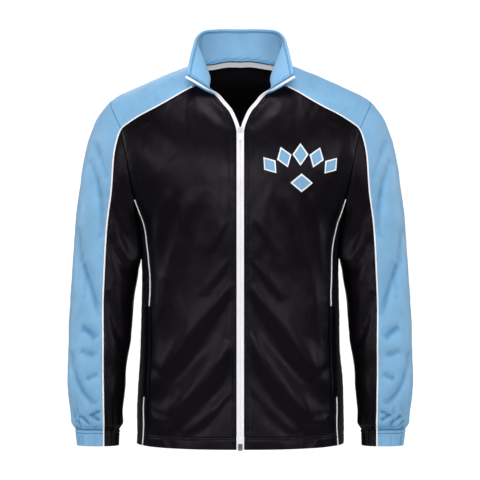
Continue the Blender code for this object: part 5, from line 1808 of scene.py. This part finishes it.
def zip_edge(side):
    """The zip's path up the front's and the collar's edge, its normals, and the way to the middle."""
    points, normals = pattern()["frames"][side]["zip"]
    collar, collar_normals = pattern()["collar"]
    column = -1 if side > 0 else 0
    path = joined(collar[::-1, column], points)
    out = joined(collar_normals[::-1, column], normals)
    for _ in range(2):
        out = smooth_line(path, out, FINE + 2)[1]
    soft_path = smooth_line(smooth_line(path, out, FINE)[0], out, FINE)[0]
    bend = bell((np.arange(len(path)) - len(collar) + 1) / ZIP_BEND_REACH)
    path = path + bend[:, None] * (soft_path - path)
    across = unit(np.cross(out, np.gradient(path, axis=0)))
    across *= -np.sign(across[-1, 0] * side)
    return path, out, across


def zip_tapes():
    half = TAPE_WIDTH / 2
    outline = [(-half, -TAPE_WALL), (half, -TAPE_WALL), (half, 0.0), (half / 2, TAPE_CROWN), (-half, 0.0)]
    for word, side in SIDES:
        path, out, across = zip_edge(side)
        centre = path + across * (ZIP_GAP + half)
        made = sweep(f"zip_tape_{word}", centre, out, across, outline, tape_cloth())
        piece_of(made, "jacket", "white_tape", f"zip_tape_{word}")


def coil_turn():
    """One turn of the coil: a round nylon bar that rises over the tape's cord, along Y."""
    choose()
    length, lying = CHAIN_WIDTH + COIL_OVERHANG, (math.radians(90), 0, 0)
    bpy.ops.mesh.primitive_cylinder_add(vertices=6, radius=COIL_RADIUS, depth=length, rotation=lying)
    made = bpy.context.active_object
    bpy.ops.object.transform_apply(location=False, rotation=True, scale=False)
    edit_mode(True)
    cut_across(1, (-CHAIN_WIDTH / 4, CHAIN_WIDTH / 4))
    edit_mode(False)
    for corner in made.data.vertices:
        corner.co.z += COIL_RISE - COIL_ARCH * corner.co.y**2
    return made


def zip_coils():
    settings = bpy.context.scene.jacket_zip
    white = hard_finish("white nylon coil", settings.white, roughness=0.30, coat=0.2)
    for word, side in SIDES:
        path, out, across = zip_edge(side)
        middle = path + across * (TAPE_WIDTH + ZIP_GAP - CHAIN_WIDTH / 2)
        spots = resampled(middle, out, settings.coil_pitch, COIL_STARTS[side])
        kept = spots[0][:, 2] > BOX_TOP_Z
        made = repeated(f"zip_coil_{word}", coil_turn(), [[rows[kept] for rows in spots]], white)
        piece_of(made, "jacket", "zip_teeth", f"zip_teeth_{word}")


def zip_frame(z):
    """A local frame on the closed zip: x across, y up along it, z out of the cloth."""
    points, normals = torso_surface(torso_place(np.array([0.0]), np.array([z])))
    out = Vector((0.0, normals[0][1], normals[0][2])).normalized()
    across = Vector((1.0, 0.0, 0.0))
    turned = Matrix((across, out.cross(across), out)).transposed().to_4x4()
    return Matrix.Translation(Vector(points[0])) @ turned


def slider_plate(low):
    """A slider plate: wide shoulders, a waist and a narrower foot."""
    made = box_at((SLIDER_WIDTH, SLIDER_HEIGHT, PLATE_WALL), (0, 0, low + PLATE_WALL / 2))
    edit_mode(True)
    cut_across(1, [row.y for row in PLATE_TAPER[-2:0:-1]])
    edit_mode(False)
    taper_to(made, PLATE_TAPER)
    return made


def slider_bridge():
    """Half a ring over the front plate, through which the tab's eye passes."""
    choose()
    bpy.ops.mesh.primitive_torus_add(
        major_segments=28, minor_segments=10, major_radius=BRIDGE_RADIUS, minor_radius=BRIDGE_WIRE,
        rotation=(0, math.radians(90), 0), location=(0, BRIDGE_Y, PLATE_TOP - BRIDGE_SINK),
    )
    made = bpy.context.active_object
    bpy.ops.object.transform_apply(location=True, rotation=True, scale=False)
    edit_mode(True)
    bpy.ops.mesh.select_all(action="SELECT")
    foot = (0, 0, PLATE_TOP - BRIDGE_FOOT)
    bpy.ops.mesh.bisect(plane_co=foot, plane_no=(0, 0, 1), clear_inner=True, use_fill=True)
    edit_mode(False)
    for corner in made.data.vertices:
        corner.co.x *= BRIDGE_SPREAD
    return made


def slider_piece():
    """Two plates round the chain, the post between them and the bridge that holds the tab."""
    front = slider_plate(PLATE_LOW)
    choose(front)
    edit_mode(True)
    choose_faces(front, facing_out)
    bpy.ops.mesh.inset(thickness=PLATE_RIM, depth=PLATE_DISH)
    edit_mode(False)
    back = slider_plate(-TAPE_WALL - ZIP_GAP - PLATE_WALL)
    low, high = -TAPE_WALL - ZIP_GAP - POST_SINK, PLATE_LOW + POST_SINK
    post = box_at((2 * POST_HALF, POST_LENGTH, high - low), (0, POST_Y, (low + high) / 2))
    choose(front, back, post, slider_bridge())
    bpy.ops.object.join()
    # Painted shade: the slider's white enamel is made grey, to stand in for its shading against the white
    # tab
    grey = hard_finish("grey enamel", bpy.context.scene.jacket_zip.slider, roughness=0.32, coat=0.3)
    stand_at(front, zip_frame(SLIDER_Z), "slider_body", grey)
    piece_of(front, "jacket", "zip_metal", "slider")


def close_eye(made):
    """Walls the opening that is left round the eye of the tab."""
    edited = bmesh.new()
    edited.from_mesh(made.data)
    bmesh.ops.bridge_loops(edited, edges=[edge for edge in edited.edges if edge.is_boundary])
    bmesh.ops.recalc_face_normals(edited, faces=edited.faces)
    edited.to_mesh(made.data)
    edited.free()


def pull_tab_piece():
    """The tab that turns on the bridge: an eye, a waist and a ridged grip."""

    def in_eye(centre, normal):
        beside, along = abs(centre.x) < TAB_EYE_HALF, -TAB_EYE_END < centre.y < -TAB_EYE_START
        return beside and along and abs(normal.z) > 0.9

    length, middle = TAB_LENGTH + TAB_WALL / 2, (TAB_WALL / 2 - TAB_LENGTH) / 2
    made = box_at((TAB_WIDTH, length, TAB_WALL), (0, middle, 0))
    edit_mode(True)
    cut_across(1, [-TAB_EYE_START] + [row.y for row in TAB_TAPER[-2:0:-1]])
    cut_across(0, (-TAB_EYE_HALF, TAB_EYE_HALF))
    choose_faces(made, in_eye)
    bpy.ops.mesh.delete(type="FACE")
    bpy.ops.mesh.select_all(action="DESELECT")
    edit_mode(False)
    close_eye(made)
    taper_to(made, TAB_TAPER, TAB_EYE_HALF + 1e-5)
    hinge = zip_frame(SLIDER_Z) @ Matrix.Translation((0, HINGE_Y, PLATE_TOP + HINGE_RISE))
    hinge = hinge @ Matrix.Rotation(math.radians(TAB_REST_ANGLE), 4, "X")
    white = hard_finish("white enamel", bpy.context.scene.jacket_zip.white, roughness=0.28, coat=0.5)
    stand_at(made, hinge, "pull_tab_grip", white, TAB_BEVEL)
    piece_of(made, "pull_tab", "zip_metal", "pull_tab")


def zip_box_piece():
    size = (2 * BOX_HALF, BOX_TOP_Z - BOX_FOOT_Z, BOX_WALL)
    made = box_at(size, (0, 0, ZIP_GAP + BOX_WALL / 2))
    edit_mode(True)
    choose_faces(made, facing_out)
    bpy.ops.mesh.inset(thickness=BOX_RIM)
    bpy.ops.transform.translate(value=(0, 0, -BOX_DISH))
    edit_mode(False)
    dark = hard_finish("dark zip end", bpy.context.scene.jacket_zip.dark, roughness=0.38)
    stand_at(made, zip_frame((BOX_FOOT_Z + BOX_TOP_Z) / 2), "zip_end_box", dark)
    piece_of(made, "jacket", "zip_end", "zip_box")


# ---------------------------------------------------------------- sewing


THREAD_SLOT = {"black thread": "black_tricot", "blue thread": "blue_tricot", "white thread": "white_tape"}


def stitch_shape():
    """A single lock stitch: a short rounded thread along X."""
    trim = bpy.context.scene.jacket_trim
    choose()
    bpy.ops.mesh.primitive_uv_sphere_add(segments=6, ring_count=4, radius=0.5)
    made = bpy.context.active_object
    made.rotation_euler = (0, math.radians(90), 0)
    bpy.ops.object.transform_apply(location=False, rotation=True, scale=False)
    made.scale = (trim.stitch_length, trim.thread_width, trim.thread_width * THREAD_FLATNESS)
    bpy.ops.object.transform_apply(location=False, rotation=False, scale=True)
    return made


def sew(name, lines, thread, colour):
    """Rows of stitches along lines of points and normals."""
    trim = bpy.context.scene.jacket_trim
    template = stitch_shape()
    pitch = trim.stitch_length + trim.stitch_gap
    spots = [resampled(points, normals, pitch, 0.5) for points, normals in lines]
    made = repeated(f"stitches_{name}", template, spots, hard_finish(thread, colour, roughness=0.5))
    piece_of(made, "jacket", THREAD_SLOT[thread])


def rows_on(names, edges, places, lift):
    """Lines on the named pieces, at each place in from each of these edges."""
    return [line_on(name, edge, place, lift=lift) for place in places for name in names for edge in edges]


def behind(lines, depth):
    """The same lines on the cloth's other face."""
    return [(points - normals * depth, -normals) for points, normals in lines]


def seam_stitches():
    trim, cloth = bpy.context.scene.jacket_trim, bpy.context.scene.jacket_cloth
    lift = trim.thread_width * THREAD_LIFT
    dark = [tone * DARK_THREAD for tone in cloth.black]
    pale = [tone * PALE_THREAD for tone in cloth.blue]
    parts = ("front", "side_panel", "pocket_welt", "cuff_outer", "cuff_under")
    both = {part: [f"{part}_{word}" for word, _ in SIDES] for part in parts}
    hem = rows_on(["back"] + both["front"] + both["side_panel"], ["bottom"], HEM_STITCHES, lift)
    front = []
    for points, normals in rows_on(both["front"], ["left"], FRONT_STITCHES, lift):
        kept = points[:, 2] > HEM_Z + FRONT_STITCHES_FOOT
        front.append((points[kept], normals[kept]))
    collar = rows_on(["collar"], BUT_TOP, COLLAR_STITCHES, lift)
    welts = rows_on(both["pocket_welt"], ("left", "right"), WELT_STITCHES, lift)
    tape = rows_on(["neck_tape"], ("top", "bottom"), NECK_TAPE_STITCHES, 0.0)
    sew("hem", hem, "black thread", dark)
    sew("front", front, "black thread", dark)
    sew("cuff_under", rows_on(both["cuff_under"], ["top"], CUFF_STITCHES, lift), "black thread", dark)
    sew("cuff_outer", rows_on(both["cuff_outer"], ["top"], CUFF_STITCHES, lift), "blue thread", pale)
    sew("collar", collar + behind(collar, cloth.collar_wall + 2 * lift), "blue thread", pale)
    sew("pockets", welts, "black thread", dark)
    sew("neck_tape", behind(tape, NECK_TAPE_WALL), "white thread", trim.white)


# ---------------------------------------------------------------- chest badge


def on_front(places):
    """Points and normals of the left front's face at rows of world (x, z)."""
    points, normals = GRIDS["front_left"]
    flat, out = points.reshape(-1, 3), normals.reshape(-1, 3)
    found, facing = [], []
    for x, z in places:
        gaps = ((flat[:, [0, 2]] - (x, z)) ** 2).sum(axis=1)
        near = np.argpartition(gaps, BADGE_NEAREST)[:BADGE_NEAREST]
        weights = 1 / (gaps[near] + 1e-8)
        weights /= weights.sum()
        normal = unit(weights @ out[near])
        centre = weights @ flat[near]
        y = centre[1] - (normal[0] * (x - centre[0]) + normal[2] * (z - centre[2])) / normal[1]
        found.append((x, y, z))
        facing.append(normal)
    return np.array(found), np.array(facing)


def lozenge(centre, half_x, half_z, tilt):
    """A square net of (x, z) places pulled into a lozenge."""
    shares = np.linspace(-1, 1, BADGE_NET)
    s, t = np.meshgrid(shares, shares)
    x, z = (s - t) / 2 * half_x, (s + t) / -2 * half_z
    cos, sin = math.cos(tilt), math.sin(tilt)
    return np.stack([centre[0] + x * cos + z * sin, centre[1] - x * sin + z * cos], axis=-1)


def badge_part(name, net, wall, lift, finish):
    """A badge part laid on the left front from a net of (x, z) places."""
    shape = (*net.shape[:2], 3)
    points, normals = (rows.reshape(shape) for rows in on_front(net.reshape(-1, 2)))
    points = points + normals * (lift + wall)
    made = cloth_wall(name, points, normals, wall, finish, rounding=BADGE_ROUNDING)
    piece_of(made, "jacket", "white_tape")


def badge_pieces():
    """A plain emblem on the left chest: a bent row of lozenges over one larger lozenge."""
    finishes = {"rim": trim_cloth(), "heart": blue_cloth()}
    middle = (BADGE_COUNT - 1) / 2
    for k in range(BADGE_COUNT):
        tilt = (k - middle) * BADGE_STEP
        spot = (
            BADGE_X + BADGE_RADIUS * math.sin(tilt),
            BADGE_Z - BADGE_RADIUS + BADGE_RADIUS * math.cos(tilt),
        )
        share = 1.0 - BADGE_SHRINK * abs(k - middle) / 2
        for layer in BADGE_LAYERS:
            net = lozenge(spot, layer.half_x * share, layer.half_z * share, tilt)
            badge_part(f"badge_{layer.name}_{k + 1}", net, layer.wall, layer.lift, finishes[layer.name])
    for layer in BADGE_LAYERS:
        net = lozenge((BADGE_LOW_X, BADGE_LOW_Z), layer.low_half_x, layer.low_half_z, 0.0)
        badge_part(f"badge_{layer.name}_low", net, layer.wall, layer.lift, finishes[layer.name])


# ---------------------------------------------------------------- stage


def room_light(strength):
    """An even grey room with one white opening straight behind the jacket."""
    world = bpy.data.worlds.new("room light")
    world.use_nodes = True
    tree = world.node_tree
    place = add_node(tree, "ShaderNodeTexCoord").outputs["Generated"]
    way = add_node(tree, "ShaderNodeSeparateXYZ", {0: place})
    inputs = (way.outputs[1], math.cos(OPENING_EDGE), math.cos(OPENING), strength, OPENING_STRENGTH)
    ahead = add_node(tree, "ShaderNodeMapRange", enumerate(inputs), interpolation_type="SMOOTHSTEP")
    wire(tree, tree.nodes["Background"], {"Color": (1, 1, 1, 1), "Strength": ahead.outputs[0]})
    bpy.context.scene.world = world


def floor_piece(stage):
    choose()
    bpy.ops.mesh.primitive_circle_add(
        vertices=96, radius=FLOOR_RADIUS, fill_type="NGON", location=(0, 0, stage.floor_z)
    )
    floor = bpy.context.active_object
    floor.name = "floor"
    floor.data.materials.append(hard_finish("pale floor", stage.paper, roughness=0.8))


def hang_lamp(lamp, stage):
    light = bpy.data.lights.new(lamp.name, "AREA")
    light.shape, light.size, light.energy = "DISK", lamp.width, getattr(stage, lamp.power)
    made = bpy.data.objects.new(lamp.name, light)
    made.location = (lamp.x, lamp.y, lamp.z)
    made.rotation_euler = (Vector(LAMP_AIM) - made.location).to_track_quat("-Z", "Y").to_euler()
    made.visible_camera = False
    bpy.context.scene.collection.objects.link(made)


def set_camera(stage):
    lens = bpy.data.cameras.new("camera")
    lens.sensor_width, lens.lens = SENSOR, stage.lens
    camera = bpy.data.objects.new("camera", lens)
    camera.location = (CAMERA_X, -stage.distance, CAMERA_Z)
    camera.rotation_euler = (math.radians(90), 0, 0)
    bpy.context.scene.collection.objects.link(camera)
    bpy.context.scene.camera = camera


def set_stage():
    stage = bpy.context.scene.jacket_stage
    floor_piece(stage)
    room_light(stage.sky)
    bpy.context.scene.view_settings.view_transform = "Standard"
    for lamp in LAMPS:
        hang_lamp(lamp, stage)
    set_camera(stage)


# ---------------------------------------------------------------- operators and panel


class SewFronts(bpy.types.Operator):
    """Cut and hang both fronts"""

    bl_idname = "jacket.fronts"
    bl_label = "Fronts"

    def execute(self, context):
        front_pieces()
        return {"FINISHED"}


class SewSidePanels(bpy.types.Operator):
    """Cut and hang both side panels"""

    bl_idname = "jacket.side_panels"
    bl_label = "Side panels"

    def execute(self, context):
        side_pieces()
        return {"FINISHED"}


class SewYokes(bpy.types.Operator):
    """Lay both yokes over the shoulders"""

    bl_idname = "jacket.yokes"
    bl_label = "Yokes"

    def execute(self, context):
        yoke_pieces()
        return {"FINISHED"}


class SewBack(bpy.types.Operator):
    """Cut and hang the back"""

    bl_idname = "jacket.back"
    bl_label = "Back"

    def execute(self, context):
        back_piece()
        return {"FINISHED"}


class SewSleeves(bpy.types.Operator):
    """Set the outer and under half of each sleeve"""

    bl_idname = "jacket.sleeves"
    bl_label = "Sleeves"

    def execute(self, context):
        sleeve_pieces()
        return {"FINISHED"}


class SewCuffs(bpy.types.Operator):
    """Gather the cuffs"""

    bl_idname = "jacket.cuffs"
    bl_label = "Cuffs"

    def execute(self, context):
        cuff_pieces()
        return {"FINISHED"}


class SewCollar(bpy.types.Operator):
    """Stand the collar on the neck seam"""

    bl_idname = "jacket.collar"
    bl_label = "Collar"

    def execute(self, context):
        collar_piece()
        return {"FINISHED"}


class SewNeckTape(bpy.types.Operator):
    """Lay the tape over the neck seam"""

    bl_idname = "jacket.neck_tape"
    bl_label = "Neck tape"

    def execute(self, context):
        neck_tape_piece()
        return {"FINISHED"}


class SewPockets(bpy.types.Operator):
    """Lay a welt over each pocket mouth"""

    bl_idname = "jacket.pockets"
    bl_label = "Pockets"

    def execute(self, context):
        welt_pieces()
        return {"FINISHED"}


class SewPiping(bpy.types.Operator):
    """Run the piping along its seams"""

    bl_idname = "jacket.piping"
    bl_label = "Piping"

    def execute(self, context):
        piping_pieces()
        return {"FINISHED"}


class SewZipTapes(bpy.types.Operator):
    """Sew in the zip's two tapes"""

    bl_idname = "jacket.zip_tapes"
    bl_label = "Zip tapes"

    def execute(self, context):
        zip_tapes()
        return {"FINISHED"}


class SewZipCoils(bpy.types.Operator):
    """Wind the zip's two coils"""

    bl_idname = "jacket.zip_coils"
    bl_label = "Zip coils"

    def execute(self, context):
        zip_coils()
        return {"FINISHED"}


class SewSlider(bpy.types.Operator):
    """Fit the slider"""

    bl_idname = "jacket.slider"
    bl_label = "Slider"

    def execute(self, context):
        slider_piece()
        return {"FINISHED"}


class SewPullTab(bpy.types.Operator):
    """Hang the pull tab on the slider"""

    bl_idname = "jacket.pull_tab"
    bl_label = "Pull tab"

    def execute(self, context):
        pull_tab_piece()
        return {"FINISHED"}


class SewZipBox(bpy.types.Operator):
    """Fit the box at the zip's foot"""

    bl_idname = "jacket.zip_box"
    bl_label = "Zip box"

    def execute(self, context):
        zip_box_piece()
        return {"FINISHED"}


class SewStitches(bpy.types.Operator):
    """Sew the rows of stitches"""

    bl_idname = "jacket.stitches"
    bl_label = "Stitches"

    def execute(self, context):
        seam_stitches()
        return {"FINISHED"}


class SewBadge(bpy.types.Operator):
    """Sew on the chest badge"""

    bl_idname = "jacket.badge"
    bl_label = "Badge"

    def execute(self, context):
        badge_pieces()
        return {"FINISHED"}


class SetStage(bpy.types.Operator):
    """Set the floor, the lamps and the camera"""

    bl_idname = "jacket.stage"
    bl_label = "Stage"

    def execute(self, context):
        set_stage()
        return {"FINISHED"}


class JacketPanel(bpy.types.Panel):
    """Lists the steps in their order, with the sizes and colours."""

    bl_idname = "VIEW3D_PT_jacket"
    bl_label = "Track Jacket"
    bl_space_type = "VIEW_3D"
    bl_region_type = "UI"
    bl_category = "Jacket"

    def draw(self, context):
        for settings in (getattr(context.scene, name) for name in SETTINGS):
            box = self.layout.box()
            for key in type(settings).__annotations__:
                box.prop(settings, key)
        for step in STEPS:
            self.layout.operator(step.bl_idname)


SETTINGS = {
    "jacket_cloth": JacketCloth,
    "jacket_trim": JacketTrim,
    "jacket_zip": JacketZip,
    "jacket_stage": JacketStage,
}
STEPS = (
    SewFronts, SewSidePanels, SewYokes, SewBack, SewSleeves, SewCuffs, SewCollar, SewNeckTape, SewPockets,
    SewPiping, SewZipTapes, SewZipCoils, SewSlider, SewPullTab, SewZipBox, SewStitches, SewBadge, SetStage,
)


def register():
    for settings in SETTINGS.values():
        bpy.utils.register_class(settings)
    for name, settings in SETTINGS.items():
        setattr(bpy.types.Scene, name, PointerProperty(type=settings))
    for step in (*STEPS, JacketPanel):
        bpy.utils.register_class(step)


def unregister():
    for step in (JacketPanel, *reversed(STEPS)):
        bpy.utils.unregister_class(step)
    for name, settings in SETTINGS.items():
        delattr(bpy.types.Scene, name)
        bpy.utils.unregister_class(settings)


def main():
    register()
    for step in STEPS:
        group, name = step.bl_idname.split(".")
        getattr(getattr(bpy.ops, group), name)()


if __name__ == "__main__":
    main()
